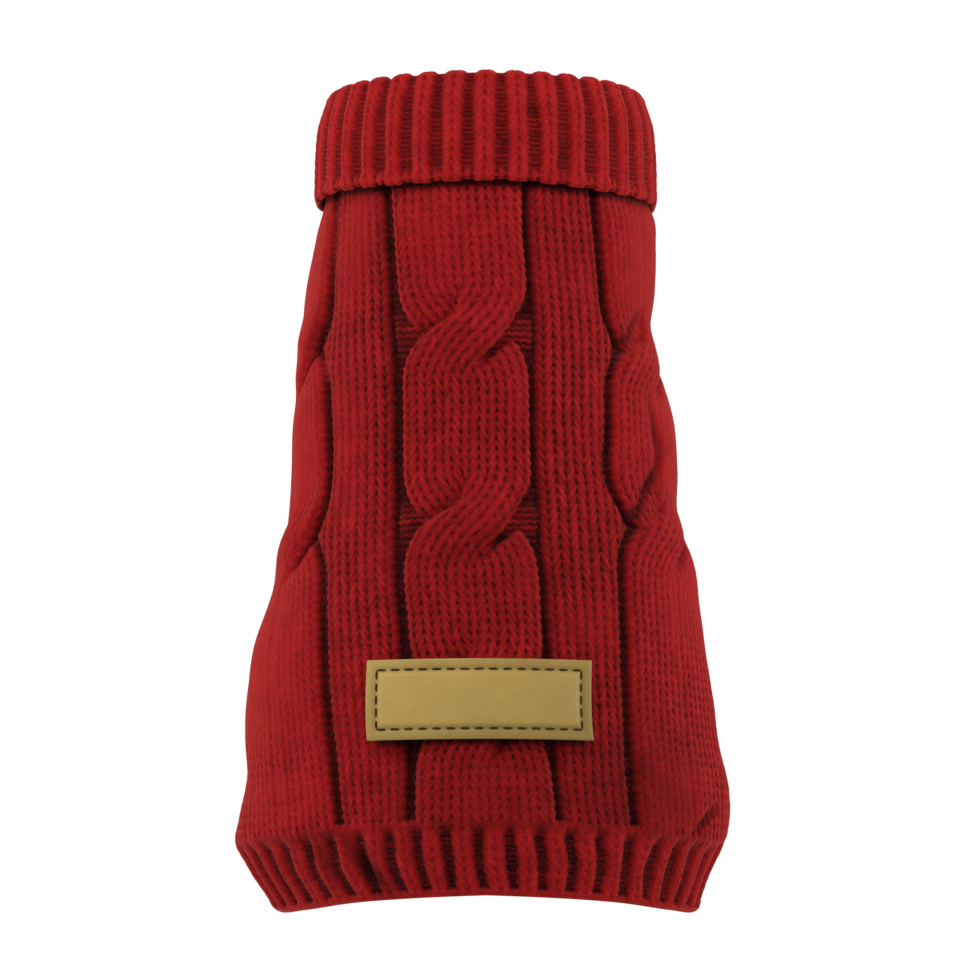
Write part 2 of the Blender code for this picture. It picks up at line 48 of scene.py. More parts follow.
DITCH_LIFT = -2.5
INNER_LIFT = -4.1

Ring = namedtuple("Ring", "height half_width centre_x centre_y back_depth belly_depth")
BODY_RINGS = [Ring(*row) for row in (
    (-10, 50.2, 0.3, 0, 50.2, 50.2),
    (-16, 50.6, 0.3, 0, 50.5, 50.5),
    (-22, 51, 0.3, 0, 51, 50.9),
    (-27, 52.3, 0.6, 0.1, 52.2, 52.2),
    (-36, 53.8, 0, 0.4, 53.2, 53.8),
    (-50, 54.9, -1.5, 0.8, 53.6, 55.6),
    (-64, 54.6, -2.7, 1.2, 53.6, 57.2),
    (-71, 55, -1.9, 1.4, 53.6, 57.9),
    (-79, 57.2, -1.3, 1.5, 53.8, 58.8),
    (-93, 60.1, -0.3, 1.6, 53.8, 59.8),
    (-108, 60.8, 0, 1.6, 54, 60.2),
    (-122, 61.4, -0.3, 1.5, 54.6, 60.2),
    (-129, 63.1, 0.6, 1.4, 55.2, 60),
    (-137, 65.3, 1.3, 1.2, 56, 59.8),
    (-151, 68.5, 0.3, 1, 57.6, 59.4),
    (-166, 72.1, -1.5, 0.8, 59.2, 59),
    (-180, 74.4, -1.6, 0.6, 60.6, 58.6),
    (-195, 75.8, -1, 0.4, 61.8, 58.4),
    (-209, 77.2, 0.6, 0.2, 62.6, 58.2),
    (-219, 78.2, -0.2, 0, 63, 57.8),
    (-228, 77.7, -1.7, 0, 62.8, 57),
    (-233, 75.1, -1.5, 0.1, 61.8, 56.2),
    (-238, 72.5, -1.2, 0.2, 60.6, 55),
    (-245, 68.9, 0, 0.4, 58.8, 53.6),
    (-251, 66.2, 1, 0.6, 57, 52.4),
)]
Ditch = namedtuple("Ditch", "height outer_left inner_left inner_right outer_right")
DITCHES = [Ditch(*row) for row in (
    (-10, -46.4, -32.3, 12, 33),
    (-42, -48.6, -30.7, 13.4, 36.2),
    (-74, -50.6, -28.8, 15, 39),
    (-106, -49.9, -27.8, 15.3, 39.6),
    (-138, -51.2, -27.8, 17, 42.6),
    (-170, -50.9, -25.9, 19.5, 43.8),
    (-202, -48, -23.6, 21.3, 45),
    (-228, -45, -24, 23.7, 47.2),
)]
HemEdge = namedtuple("HemEdge", "height share")
HEM_EDGE = [HemEdge(*row) for row in (
    (-247.5, 0), (-248.8, 0.22), (-250, 0.36), (-249, 0.48), (-240, 0.62), (-222, 0.78), (-213.8, 0.93),
    (-213, 1),
)]
HEM_DEPTH = 23.0
HEM_RIBS = 43

# The back's pattern, in stitches from its middle line. In each cable two strands change sides, the right one
# always passing over.
Cable = namedtuple("Cable", "middle crossings depth slimmer swell")
CABLES = [Cable(*row) for row in (
    (-14, (-6, -70.5, -132), 0.6, 0, 0),
    (0.12, (-6, -70, -129.5, -188), 1, -0.07, 0),
    (14, (-6, -72.5, -129.5), 0.65, -0.02, 0.3),
)]
SWELL_HEIGHT = -113.0
SWELL_REACH = 9.0
LEFT_FLATTER_FROM = 12.2
RIGHT_FLATTER_FROM = 14.8
FLATTER_OVER = 2.8
STRAND_HALF = 2.0
CABLE_HALF = 4.0
CABLE_MARGIN = 1.5
STRIP_INNER = 5.0
STRIP_OUTER = 9.0
STRIP_WALES = 4.0
FULLNESS = 0.42
EDGE_JAG = 0.05
EDGE_CORD_FROM = 0.86
EDGE_CORD_SHARE = 0.75
EDGE_CORD_RUN = 0.08
EDGE_CORD_TONE = 0.97
INNER_DITCH = 4.5
OUTER_DITCH = 9.5
SIDE_DITCH_END = 19.0
SIDE_PLAIN_BEFORE = 0.9
SIDE_PLAIN_RUN = 0.8
SEAM_AT_NECK = 19.3
SEAM_AT_HEM = 23.3
COURSES = 70

CROSSING_LENGTH = 33.0
LONG_BELOW = -160.0
LONGER = 1.4
CROSSING_SPREAD = 0.34
OVER_LEFT_NARROWING = 1.15
OVER_RIGHT_NARROWING = 0.3
OVER_NARROW_ABOVE = 5.5
OVER_NARROW_REACH = 5.5
STRIP_CLEARER = 1.2
LENS_LIFT = 1.2
LENS_MIDDLE_LIFT = 0.95
LENS_END_FALL = 6.0
OVER_LIFT = 1.7
OVER_ROUND = 1.1
UNDER_DIP = 3.4
UNDER_REACH = 2.6
UNDER_SLOPE_DIP = 1.7
UNDER_SLOPE_REACH = 4.5
CREASE_DEPTH = 1.3
CREASE_REACH = 1.5
CREASE_RUN = 3.4
EDGE_STEEPNESS = 12
EDGE_SOFTER = 4.0
CROSSED = 0.3
UNDER_SHADE = 0.8
UNDER_SHADE_REACH = 2.0
SLOPE_SHADE = 0.15
SLOPE_SHADE_REACH = 5.0
OUT_OF_REACH = -9.0
PRESSED_ABOVE = -23.0
FREE_BELOW = -32.0
PRESSED_SHARE = 0.25
RECESS_DRAWN_IN = 1.3
RECESS_TO = 4.7
RECESS_RUN = 0.5
RECESS_RISE = 1.8
# RECESS_TONE and DITCH_TONE are painted shade in the cable's open recess and in the narrow ditches.
RECESS_TONE = 0.85
DITCH_TONE = 0.24
RUNGS_A_COURSE = 1.5
HEM_PUFF_REACH = 1.5
OUTER_GROOVE = -1.2
FILLED_TONE = 0.75
# BLACK_DEPTH and SUNK_LEAST_TONE set the painted shade on the sunk sides of the bands.
BLACK_DEPTH = 2.2
SUNK_LEAST_TONE = 0.15
BELLY_SEED = 30

# Plain knit: each stitch is a V of two steep legs, seen as two beaded cords with dark dots between them. The
# dots are dips in the cloth, made darker still by painted shade where the legs' tone is low.
LEG_DEPTH = 0.95
LEG_RISE = 1.5
LEG_GROOVE = 0.36
LEG_NECK = 0.16
DOT_DEPTH = 1.05
BAR_HEIGHT = 0.9
NAP_CLEAR, NAP_LEAST_CLEAR, NAP_MOST_CLEAR = 0.72, 0.52, 0.86
NAP_TONE = 0.93


def smooth_column(table, name, at, key="height"):
    """A table's column, read along a smooth curve through its rows at any value of the key column."""
    rows = sorted(table, key=lambda row: getattr(row, key))
    keys, values = (np.array([getattr(row, field) for row in rows], float) for field in (key, name))
    slopes = np.gradient(values, keys)
    at = np.clip(np.asarray(at, float), keys[0], keys[-1])
    i = np.clip(np.searchsorted(keys, at) - 1, 0, len(keys) - 2)
    span = keys[i + 1] - keys[i]
    t = (at - keys[i]) / span
    start = values[i] * (1 + 2 * t) * (1 - t) ** 2 + slopes[i] * span * t * (1 - t) ** 2
    end = values[i + 1] * (3 - 2 * t) * t**2 - slopes[i + 1] * span * (1 - t) * t**2
    return start + end


def unit(value):
    """A value held between 0 and 1."""
    return np.clip(value, 0, 1)


def ease(share):
    """A smooth step from 0 to 1."""
    share = unit(share)
    return share * share * (3 - 2 * share)


def bell(far):
    """A smooth bump: 1 in its middle, and near 0 beyond twice its reach."""
    return np.exp(-(far**2))


def ring_at(heights):
    """The body's table, read at any heights."""
    return Ring(heights, *(smooth_column(BODY_RINGS, name, heights) for name in Ring._fields[1:]))


def section(heights, angles):
    """The x and y of the outline at an angle from the middle of the back, and of its outward normal."""
    ring = ring_at(heights)
    depth = np.where(np.cos(angles) > 0, ring.back_depth, ring.belly_depth)
    x = ring.centre_x + ring.half_width * np.sin(angles)
    y = ring.centre_y - depth * np.cos(angles)
    normal_x = np.sin(angles) / ring.half_width
    normal_y = -np.cos(angles) / depth
    length = np.hypot(normal_x, normal_y)
    return x, y, normal_x / length, normal_y / length


# The body's form, tabled once: points and normals at each height and share of the way round.
CHART_HEIGHTS = np.arange(-252.0, -7.0, 1.0)
CHART_SHARES = np.linspace(-1.0, 1.0, 721)
CHART_ANGLES = np.linspace(0.0, math.pi, 361)


def chart_of_body():
    """Half the girth at each height, the arc up to each angle, and the chart of points and normals."""
    x, y, _, _ = section(CHART_HEIGHTS[:, None], CHART_ANGLES[None, :])
    steps = np.hypot(np.diff(x, axis=1), np.diff(y, axis=1))
    along = np.concatenate([np.zeros((len(steps), 1)), np.cumsum(steps, axis=1)], axis=1)
    turned = np.stack([np.interp(np.abs(CHART_SHARES) * row[-1], row, CHART_ANGLES) for row in along])
    turned = turned * np.sign(CHART_SHARES)
    return along[:, -1], along, np.stack(section(CHART_HEIGHTS[:, None], turned), axis=-1)


HALF_GIRTHS, ARCS_TO_ANGLES, CHART = chart_of_body()


def half_girth(heights):
    """Half the way round the body."""
    return np.interp(heights, CHART_HEIGHTS, HALF_GIRTHS)


def in_chart(chart, rows, columns):
    """A chart read between its rows and columns."""
    rows = np.clip(rows, 0, chart.shape[0] - 1.001)
    columns = np.clip(columns, 0, chart.shape[1] - 1.001)
    i, j = rows.astype(int), columns.astype(int)
    a, b = (rows - i)[..., None], (columns - j)[..., None]
    upper = chart[i, j] * (1 - b) + chart[i, j + 1] * b
    lower = chart[i + 1, j] * (1 - b) + chart[i + 1, j + 1] * b
    return upper * (1 - a) + lower * a


def body_points(heights, arcs, lifts):
    """Points on the body's cloth, as an array that ends in (x, y, z)."""
    heights, arcs, lifts = np.broadcast_arrays(heights, arcs, lifts)
    shares = (arcs / half_girth(heights) + 1) % 2
    found = in_chart(CHART, heights - CHART_HEIGHTS[0], shares * (len(CHART_SHARES) - 1) / 2)
    x, y, normal_x, normal_y = np.moveaxis(found, -1, 0)
    return np.stack([x + lifts * normal_x, y + lifts * normal_y, heights], axis=-1)


def arcs_of_ditch(name):
    """The arc of a ditch at each height of the chart."""
    ring = ring_at(CHART_HEIGHTS)
    aside = smooth_column(DITCHES, name, CHART_HEIGHTS) - ring.centre_x
    wanted = np.arcsin(np.clip(aside / ring.half_width, -1, 1))
    found = [np.interp(abs(angle), CHART_ANGLES, row) for angle, row in zip(wanted, ARCS_TO_ANGLES)]
    return np.array(found) * np.sign(wanted)


DITCH_ARCS = [arcs_of_ditch(name) for name in Ditch._fields[1:]]
DITCH_STITCHES = (-OUTER_DITCH, -INNER_DITCH, INNER_DITCH, OUTER_DITCH)


def ditches_at(heights):
    """The arcs of the four ditches."""
    return [np.interp(heights, CHART_HEIGHTS, arcs) for arcs in DITCH_ARCS]


def between_ditches(at, starts, ends):
    """A place between the outer ditches, moved from one scale of the four ditches to another."""
    scales = zip(starts, starts[1:], ends, ends[1:])
    parts = [low + (at - start) / (end - start) * (high - low) for start, end, low, high in scales]
    return np.select([at < starts[1], at > starts[2]], [parts[0], parts[2]], parts[1])


def arc_of_stitch(heights, stitches):
    """The arc of a place in the back's pattern, counted in stitches from the pattern's middle line."""
    beyond = np.clip(np.abs(stitches) - OUTER_DITCH, 0, None) * np.sign(stitches) * STITCH
    within = np.clip(stitches, -OUTER_DITCH, OUTER_DITCH)
    return between_ditches(within, DITCH_STITCHES, ditches_at(heights)) + beyond


def stitch_of_arc(heights, arcs):
    """The place in the back's pattern at an arc."""
    ditches = ditches_at(heights)
    within = between_ditches(arcs, ditches, DITCH_STITCHES)
    beyond_left = -OUTER_DITCH + (arcs - ditches[0]) / STITCH
    beyond_right = OUTER_DITCH + (arcs - ditches[-1]) / STITCH
    return np.select([arcs < ditches[0], arcs < ditches[-1]], [beyond_left, within], beyond_right)


def seam_stitches(heights):
    """The right side seam's place in the pattern. The left one is its mirror image."""
    share = (BODY_RINGS[0].height - heights) / (BODY_RINGS[0].height - HEM_EDGE[0].height)
    return SEAM_AT_NECK + (SEAM_AT_HEM - SEAM_AT_NECK) * unit(share)


def hem_edge_height(shares):
    """The height of the hem's edge, at a share of the way from the back's middle to the belly's."""
    return smooth_column(HEM_EDGE, "height", np.abs(shares), key="share")


def panel_heights(down, shares_round):
    """Heights at a share of the way down a panel, from the neck seam to the hem band's seam."""
    top = BODY_RINGS[0].height - SEAM_GAP / 2
    bottom = hem_edge_height(shares_round) + HEM_DEPTH
    return top + down * (bottom - top)


def scattered(i, j, seed):
    """A fixed number from 0 to 1 for each pair of whole numbers."""
    value = np.sin(i * 12.9898 + j * 78.233 + seed * 37.719) * 43758.5453
    return value - np.floor(value)


def drifting(x, y, seed):
    """A smooth uneven surface from 0 to 1 with features one unit across."""
    i, j = np.floor(x), np.floor(y)
    a, b = ease(x - i), ease(y - j)
    near = scattered(i, j, seed) * (1 - a) + scattered(i + 1, j, seed) * a
    far = scattered(i, j + 1, seed) * (1 - a) + scattered(i + 1, j + 1, seed) * a
    return near * (1 - b) + far * b


def from_middle(number):
    """How far a number is from the middle between two whole ones: 0 there, and 1 at a whole number."""
    return 2 * np.abs(number - np.floor(number) - 0.5)


def knit_legs(wales, courses, seed):
    """How near the crest of its yarn a place of plain knit is, from 0 in the gaps to 1."""
    aside = from_middle(wales)
    phase = courses + LEG_RISE * aside
    between = from_middle(phase)
    end = np.abs(2 * aside - 1)
    leg = np.floor(2 * wales)
    dot = DOT_DEPTH * (0.3 + 0.7 * scattered(leg + (aside > 0.5), np.round(phase), seed))
    fall = LEG_GROOVE * end**3 + LEG_NECK * between**2.5 + dot * (end * between) ** 1.6
    return unit(1 - 0.2 * scattered(leg, np.floor(phase), seed + 1) - fall)


# Patches of the body: arc and height of the middle, how far they reach, and how strong they are. In the first
# the nap hides the yarns, in the next the wool is darkened by painted shade, and in the last a ditch is
# shallow.
Patch = namedtuple("Patch", "arc height reach_round reach_up share")
NAP_PATCHES = [Patch(*row) for row in (
    (-47, -38, 9, 26, 0.7),
    (-47, -104, 8, 30, 0.4),
    (-80, -48, 25, 36, 0.92),
    (-80, -104, 24, 30, 0.92),
    (-92, -168, 38, 40, 0.9),
    (-20, -34, 12, 12, 0.35),
    (79, -40, 30, 32, 0.94),
    (79, -96, 24, 28, 0.88),
    (98, -146, 36, 30, 0.8),
    (70, -214, 14, 12, 0.5),
    (-70, -216, 26, 8, 0.5),
)]
# Painted shade: each of these patches darkens the cloth's tone.
PAINTED_SHADE_PATCHES = [Patch(*row) for row in (
    (0, -148, 30, 24, 0.17),
    (12, -214, 46, 22, 0.25),
    (58, -210, 20, 24, 0.24),
    (-4, -96, 28, 20, 0.08),
    (34, -160, 12, 40, 0.08),
)]
DITCH_FILLS = [Patch(*row) for row in (
    (-62, -32, 9, 18, 0.6),
    (-58, -74, 7, 8, 0.7),
)]


def reach_of(patch, arcs, heights):
    """How fully a place lies in a patch: 1 over most of it, and 0 outside."""
    far = ((arcs - patch.arc) / patch.reach_round) ** 2 + ((heights - patch.height) / patch.reach_up) ** 2
    return bell(far)


def in_patches(patches, arcs, heights):
    """How strongly a place lies in some patches."""
    return sum(patch.share * reach_of(patch, arcs, heights) for patch in patches)


def softened(legs, arcs, heights, seed):
    """The same where the nap hides the yarns, as it does in patches and round the sides."""
    drift = drifting(arcs / 14, heights / 18, seed) - 0.4
    clear = np.clip(NAP_CLEAR + 0.7 * drift, NAP_LEAST_CLEAR, NAP_MOST_CLEAR)
    for patch in NAP_PATCHES:
        clear = clear * (1 - patch.share * reach_of(patch, arcs, heights))
    return NAP_TONE - clear * (NAP_TONE - legs)


def purl_bars(wales, courses, seed):
    """The same for the purl side, whose loops lie across as rounded bars."""
    phase = courses + 0.12 * np.cos(4 * math.pi * (wales - np.floor(wales)))
    size = 0.5 + 0.5 * scattered(np.floor(wales), np.floor(phase), seed)
    return unit((1 - from_middle(phase) ** 2.4) * size)


def sides_of_strands(heights, crossings):
    """Which side a cable's first strand is on: 1 right, -1 left, and between them in a crossing."""
    side = np.ones_like(heights)
    for crossing in crossings:
        length = CROSSING_LENGTH * (LONGER if crossing < LONG_BELOW else 1)
        side = side * (1 - 2 * ease((crossing - heights) / length + 0.5))
    return side


def strand_slope(heights, crossings):
    """How steeply the strands run across, as a tangent."""
    change = sides_of_strands(heights + 0.5, crossings) - sides_of_strands(heights - 0.5, crossings)
    return np.abs(change) * STRAND_HALF * STITCH


def half_strand(slope):
    """Half a strand's width, in stitches."""
    return (STRAND_HALF + FULLNESS / 2) * (1 + CROSSING_SPREAD * slope**2)


def raised(share, top, steepness=EDGE_STEEPNESS):
    """Lift of a band of knit with rounded sides that stands out of the ditches."""
    return DITCH_LIFT + (top - DITCH_LIFT) * (1 - unit(np.abs(share)) ** steepness)


def corded(legs, share):
    """The same with a plain cord along the edge of a band, where the share of its half width is near 1."""
    on_cord = EDGE_CORD_SHARE * ease((share - EDGE_CORD_FROM) / EDGE_CORD_RUN)
    return legs + on_cord * (EDGE_CORD_TONE - legs)


def swelling(heights, one):
    """How much further out a cable's edges lie where it is full."""
    return one.swell * bell((heights - SWELL_HEIGHT) / SWELL_REACH)


def side_of_over(heights, side, crossings):
    """The side of the strand that passes over in the nearest crossing."""
    halfway = [(above + below) / 2 for above, below in zip(crossings, crossings[1:])]
    number = sum((heights < height).astype(int) for height in halfway)
    return np.where(number % 2 == 0, side, -side)


def over_lift(share, crossing, stand):
    """Lift of the strand that passes over. It stands highest and roundest in the crossing."""
    standing = crossing * stand
    lift = raised(share, LENS_LIFT + OVER_LIFT * standing, EDGE_STEEPNESS - EDGE_SOFTER * crossing)
    return lift + OVER_ROUND * standing * (0.5 - unit(share**2))


def under_dip(gap, emerging):
    """How deep the strand that passes under dips beside the other, and how much shade is painted on it there.
    """
    dip = UNDER_DIP * bell(gap / UNDER_REACH) + CREASE_DEPTH * bell(gap / CREASE_REACH)
    dip = np.where(emerging, dip, UNDER_SLOPE_DIP * bell(gap / UNDER_SLOPE_REACH))
    sloping = SLOPE_SHADE * np.exp(-gap / SLOPE_SHADE_REACH)
    return dip, np.where(emerging, bell(gap / UNDER_SHADE_REACH), sloping)


def cable(across, heights, courses, one, depth, stand, seed):
    """Lift of a cable's form, and how near its yarn's crest each place is."""
    side = sides_of_strands(heights, one.crossings)
    crossing = 1 - side**2
    slope = strand_slope(heights, one.crossings)
    fuller = swelling(heights, one)
    half = half_strand(slope) - one.slimmer + fuller + EDGE_JAG * np.cos(TURN * courses)
    over_side = side_of_over(heights, side, one.crossings)
    over_across = across - over_side * STRAND_HALF
    under_across = across + over_side * STRAND_HALF
    upper = sum(bell((heights - at - OVER_NARROW_ABOVE) / OVER_NARROW_REACH) for at in one.crossings)
    over_half = half - np.where(over_across < 0, OVER_LEFT_NARROWING, OVER_RIGHT_NARROWING) * upper
    over_share = over_across / over_half
    over = over_lift(over_share, crossing, stand)
    gap = np.clip(np.abs(over_across) - over_half, 0, None) * STITCH / np.sqrt(1 + slope**2)
    dip, shade = under_dip(gap, over_across > 0)
    near = depth * unit(CREASE_RUN * crossing)
    under = raised(under_across / half, LENS_LIFT) - near * dip
    lens_half = CABLE_HALF + FULLNESS / 2 - one.slimmer + fuller
    lens = raised(across / lens_half, LENS_MIDDLE_LIFT) - LENS_END_FALL * (1 - np.abs(side))
    on_over = np.where(np.abs(over - under) > 1e-9, over > under, over_side * across > 0)
    wales = np.where(on_over, over_across, under_across) / half * STRAND_HALF
    outward = wales / STRAND_HALF * np.where(on_over, np.sign(over_side), -np.sign(over_side))
    exposed = np.where(on_over & (crossing > CROSSED), np.abs(over_share), outward)
    legs = corded(knit_legs(wales, courses, seed), exposed)
    # Painted shade on the strand that passes under, beside the one that passes over it.
    shade = np.where(on_over, 0, near * shade)
    return np.maximum(np.maximum(over, under), lens), legs * (1 - UNDER_SHADE * shade)


def drawn_in(heights, one):
    """How far in a cable's edges lie where its strands cross."""
    reach = np.abs(sides_of_strands(heights, one.crossings)) * STRAND_HALF
    reach = reach + half_strand(strand_slope(heights, one.crossings))
    return np.clip(CABLE_HALF + FULLNESS / 2 - reach, 0, None)


def strip_edge(heights, side):
    """How far out a strip reaches. Its outer edge follows the side cable's."""
    one = CABLES[1 + side]
    return STRIP_OUTER + FULLNESS + drawn_in(heights, one) - swelling(heights, one)


# What stands over the body's cloth: the collar's turned-down edge and the patch. Their shadows are painted
# into the cloth's tone.
COLLAR_EDGE = -22.4
COLLAR_EDGE_TILT = 0.8
COLLAR_EDGE_WAVE = 0.35
COLLAR_EDGE_WAVES = 5
UNDER_COLLAR = 2.4
COLLAR_SHADE = 0.8
HIDDEN_ABOVE = -11.0
LABEL_WIDTH = 69.0
LABEL_HEIGHT = 25.3
LABEL_MIDDLE_X = -1.9
LABEL_MIDDLE_HEIGHT = -186.8
UNDER_LABEL = 2.8
LABEL_SHADE = 0.75


def collar_edge_height(angles):
    """The height of the collar's lower edge, which waves and hangs lower on the right."""
    wave = COLLAR_EDGE_WAVE * np.sin(COLLAR_EDGE_WAVES * angles + 1)
    return COLLAR_EDGE + wave - COLLAR_EDGE_TILT * np.sin(angles)


def label_middle_arc():
    """The arc of the patch's middle."""
    ring = ring_at(LABEL_MIDDLE_HEIGHT)
    angle = math.asin((LABEL_MIDDLE_X - ring.centre_x) / ring.half_width)
    row = ARCS_TO_ANGLES[int(LABEL_MIDDLE_HEIGHT - CHART_HEIGHTS[0])]
    return math.copysign(np.interp(abs(angle), CHART_ANGLES, row), angle)


LABEL_ARC = label_middle_arc()


def painted_shade(arcs, heights):
    """How light the cloth is: painted shadow under the collar's edge and the patch, painted shade in patches.
    """
    angles = arcs / half_girth(heights) * math.pi
    above_shade = (heights - collar_edge_height(angles) + UNDER_COLLAR) / UNDER_COLLAR
    under_collar = 1 - COLLAR_SHADE * ease(above_shade) * ease((HIDDEN_ABOVE - heights) / UNDER_COLLAR)
    below = (heights - LABEL_MIDDLE_HEIGHT + LABEL_HEIGHT / 2 + UNDER_LABEL) / UNDER_LABEL
    aside = (LABEL_WIDTH / 2 - np.abs(arcs - LABEL_ARC)) / UNDER_LABEL
    under_label = 1 - LABEL_SHADE * ease(below) * ease(aside) * (heights < LABEL_MIDDLE_HEIGHT)
    return under_collar * under_label * (1 - in_patches(PAINTED_SHADE_PATCHES, arcs, heights))


def cable_bands(stitches, heights, courses):
    """Form and legs of the three cables."""
    bands = []
    for number, one in enumerate(CABLES):
        near = np.abs(stitches - one.middle) < CABLE_HALF + CABLE_MARGIN
        form, legs = np.full(stitches.shape, OUT_OF_REACH), np.zeros(stitches.shape)
        flatter_from = LEFT_FLATTER_FROM if one.middle < 0 else RIGHT_FLATTER_FROM
        flatter = ease((np.abs(stitches[near]) - flatter_from) / FLATTER_OVER)
        depth, stand = one.depth * (1 - flatter), 1 - flatter * (one.middle > 0)
        form[near], legs[near] = cable(
            stitches[near] - one.middle, heights[near], courses[near], one, depth, stand, 10 + 2 * number
        )
        bands.append((form, legs))
    return bands


def strip_bands(stitches, heights, courses):
    """Form and legs of the plain strips between the cables."""
    bands = []
    inner = STRIP_INNER - FULLNESS
    for side in (-1, 1):
        width = strip_edge(heights, side) - inner
        share = 2 * ((stitches * side - inner) / width) - 1
        share = share * (1 + 2 * EDGE_JAG / width * np.cos(TURN * (courses + 0.5)))
        form = np.where(np.abs(share) < 1, raised(share, 0), OUT_OF_REACH)
        wales = (stitches * side - inner) / (STRIP_OUTER - STRIP_INNER + 2 * FULLNESS) * STRIP_WALES
        legs = 1 - STRIP_CLEARER * (1 - knit_legs(wales, courses, 20 + 2 * side))
        bands.append((form, corded(unit(legs), np.abs(share))))
    return bands


def plain_bands(stitches, heights, courses):
    """Form and legs of the plain knit beyond the outer cables, and of the puff above the hem band."""
    drawn = np.where(stitches < 0, drawn_in(heights, CABLES[0]), drawn_in(heights, CABLES[2]))
    beyond = unit((np.abs(stitches) + drawn - SIDE_DITCH_END + SIDE_PLAIN_BEFORE) / SIDE_PLAIN_RUN)
    puffed = ease(1 - (COURSES - courses) * 3 / HEM_PUFF_REACH)
    legs = knit_legs(stitches, courses, 26)
    side_form = np.where(beyond > 0, OUTER_GROOVE * (1 - beyond) ** 2, OUT_OF_REACH)
    puff_form = np.where(puffed > 0, DITCH_LIFT * (1 - puffed), OUT_OF_REACH)
    return [(side_form, legs), (puff_form, legs)]


def back_knit(stitches, arcs, heights, courses):
    """Lift of the back's outer face, and its tone: 0 in gaps and ditches, 1 on crests. The low tone there,
    and on the sunk sides of the bands, is painted shade.
    """
    stitches, arcs, heights, courses = np.broadcast_arrays(stitches, arcs, heights, courses)
    bars = purl_bars(stitches + 0.5, RUNGS_A_COURSE * courses, 3)
    aside = np.abs(stitches - CABLES[1].middle)
    recess = ease(drawn_in(heights, CABLES[1]) / RECESS_DRAWN_IN) * ease((RECESS_TO - aside) / RECESS_RUN)
    lift = DITCH_LIFT + RECESS_RISE * recess + BAR_HEIGHT * (bars - 0.6)
    # Painted shade in the ditches, with less of it in the cable's open recess.
    tone = (DITCH_TONE + (RECESS_TONE - DITCH_TONE) * recess) * bars
    filled = in_patches(DITCH_FILLS, arcs, heights)
    lift, tone = lift - (DITCH_LIFT + 0.4) * filled, tone + filled * (FILLED_TONE - tone)
    free = ease((PRESSED_ABOVE - heights) / (PRESSED_ABOVE - FREE_BELOW))
    places = stitches, heights, courses
    for form, legs in (*cable_bands(*places), *strip_bands(*places), *plain_bands(*places)):
        form = form * np.where(form > 0, PRESSED_SHARE + (1 - PRESSED_SHARE) * free, 1)
        legs = softened(legs, arcs, heights, 27)
        total = form + LEG_DEPTH * (legs - 1)
        taken = total > lift
        # Painted shade: the sides of the bands darken the deeper they sink.
        sunk = np.clip(1 + form / BLACK_DEPTH, SUNK_LEAST_TONE, 1)
        lift = np.where(taken, total, lift)
        tone = np.where(taken, legs * np.where(form < 0, sunk, 1), tone)
    return lift, tone * painted_shade(arcs, heights)


def belly_knit(places, _arcs, _heights, courses):
    """The plain belly's lift and tone, at places counted in stitches from its middle line."""
    legs = knit_legs(places + 0.5, courses, BELLY_SEED)
    return LEG_DEPTH * (legs - 1), legs


def body_knit(arcs, heights, courses):
    """Lift and tone of the body's knit at any place round it: the back's pattern, and the plain belly."""
    stitches = stitch_of_arc(heights, arcs)
    from_belly = np.sign(arcs) * (half_girth(heights) - np.abs(arcs)) / STITCH
    on_belly = np.abs(stitches) > seam_stitches(heights)
    belly_values = belly_knit(from_belly, arcs, heights, courses)
    back_values = back_knit(stitches, arcs, heights, courses)
    return [np.where(on_belly, *values) for values in zip(belly_values, back_values)]


# Soft troughs and ridges of the cloth as it sits: arc and height of the middle, half length, half width,
# slant from level in degrees, and depth, which is less than 0 for a trough.
Crease = namedtuple("Crease", "arc height length width slant depth")
CREASES = [Crease(*row) for row in (
    (-80, -24, 6, 26, 90, 0.7),
    (82, -24, 7, 26, 90, 1.3),
    (-66, -122, 17, 6, 68, -1.5),
    (-75, -98, 14, 8, 80, 0.8),
    (63.3, -99, 10, 2, -79, -1.6),
    (60, -115.5, 9, 2.2, 58, -2.3),
    (51.5, -126.5, 6, 2, 36, -2.2),
    (72, -100, 16, 7, 84, 0.7),
    (-58, -66, 12, 5, 62, -0.9),
    (52.5, -71, 6, 1.9, 33, -1.7),
    (61, -63.8, 6, 1.9, 48, -1.5),
    (-30, -208, 20, 8, 74, -0.8),
    (30, -214, 16, 9, -78, -0.7),
    (81, -221.5, 7, 2, 40, -1.8),
    (-78, -206, 15, 9, 58, 0.8),
    (4, -160, 18, 9, 8, 0.5),
    (-37, -238, 9, 2.6, -50, -2.6),
    (-52, -236, 8, 3, -62, -1.4),
    (118, -60, 22, 6, 38, -1.1),
    (-122, -66, 19, 5, -44, -1),
    (150, -84, 12, 5, 20, -0.8),
    (-158, -118, 24, 8, -12, -1),
    (128, -136, 26, 7, 22, -1.2),
    (-130, -150, 21, 9, -30, 0.8),
    (170, -168, 30, 9, 6, -0.8),
    (120, -186, 18, 7, 52, -0.9),
    (-112, -196, 16, 6, -58, -1),
)]
SHARP_WIDTH = 3.0
CREASE_SHADE = 0.36
CREASE_LEAST_TONE = 0.3
INSIDE_TONE = 0.55


def creased(arcs, heights, sharp_only=False):
    """How far the creases move the cloth out or in."""
    half_round = half_girth(heights)
    lift = 0
    for c in CREASES:
        if sharp_only and c.width > SHARP_WIDTH:
            continue
        aside = (arcs - c.arc + half_round) % (2 * half_round) - half_round
        up = heights - c.height
        turn = math.radians(c.slant)
        along = aside * math.cos(turn) + up * math.sin(turn)
        across = -aside * math.sin(turn) + up * math.cos(turn)
        lift = lift + c.depth * np.exp(-((along / c.length) ** 2) - (across / c.width) ** 2)
    return lift


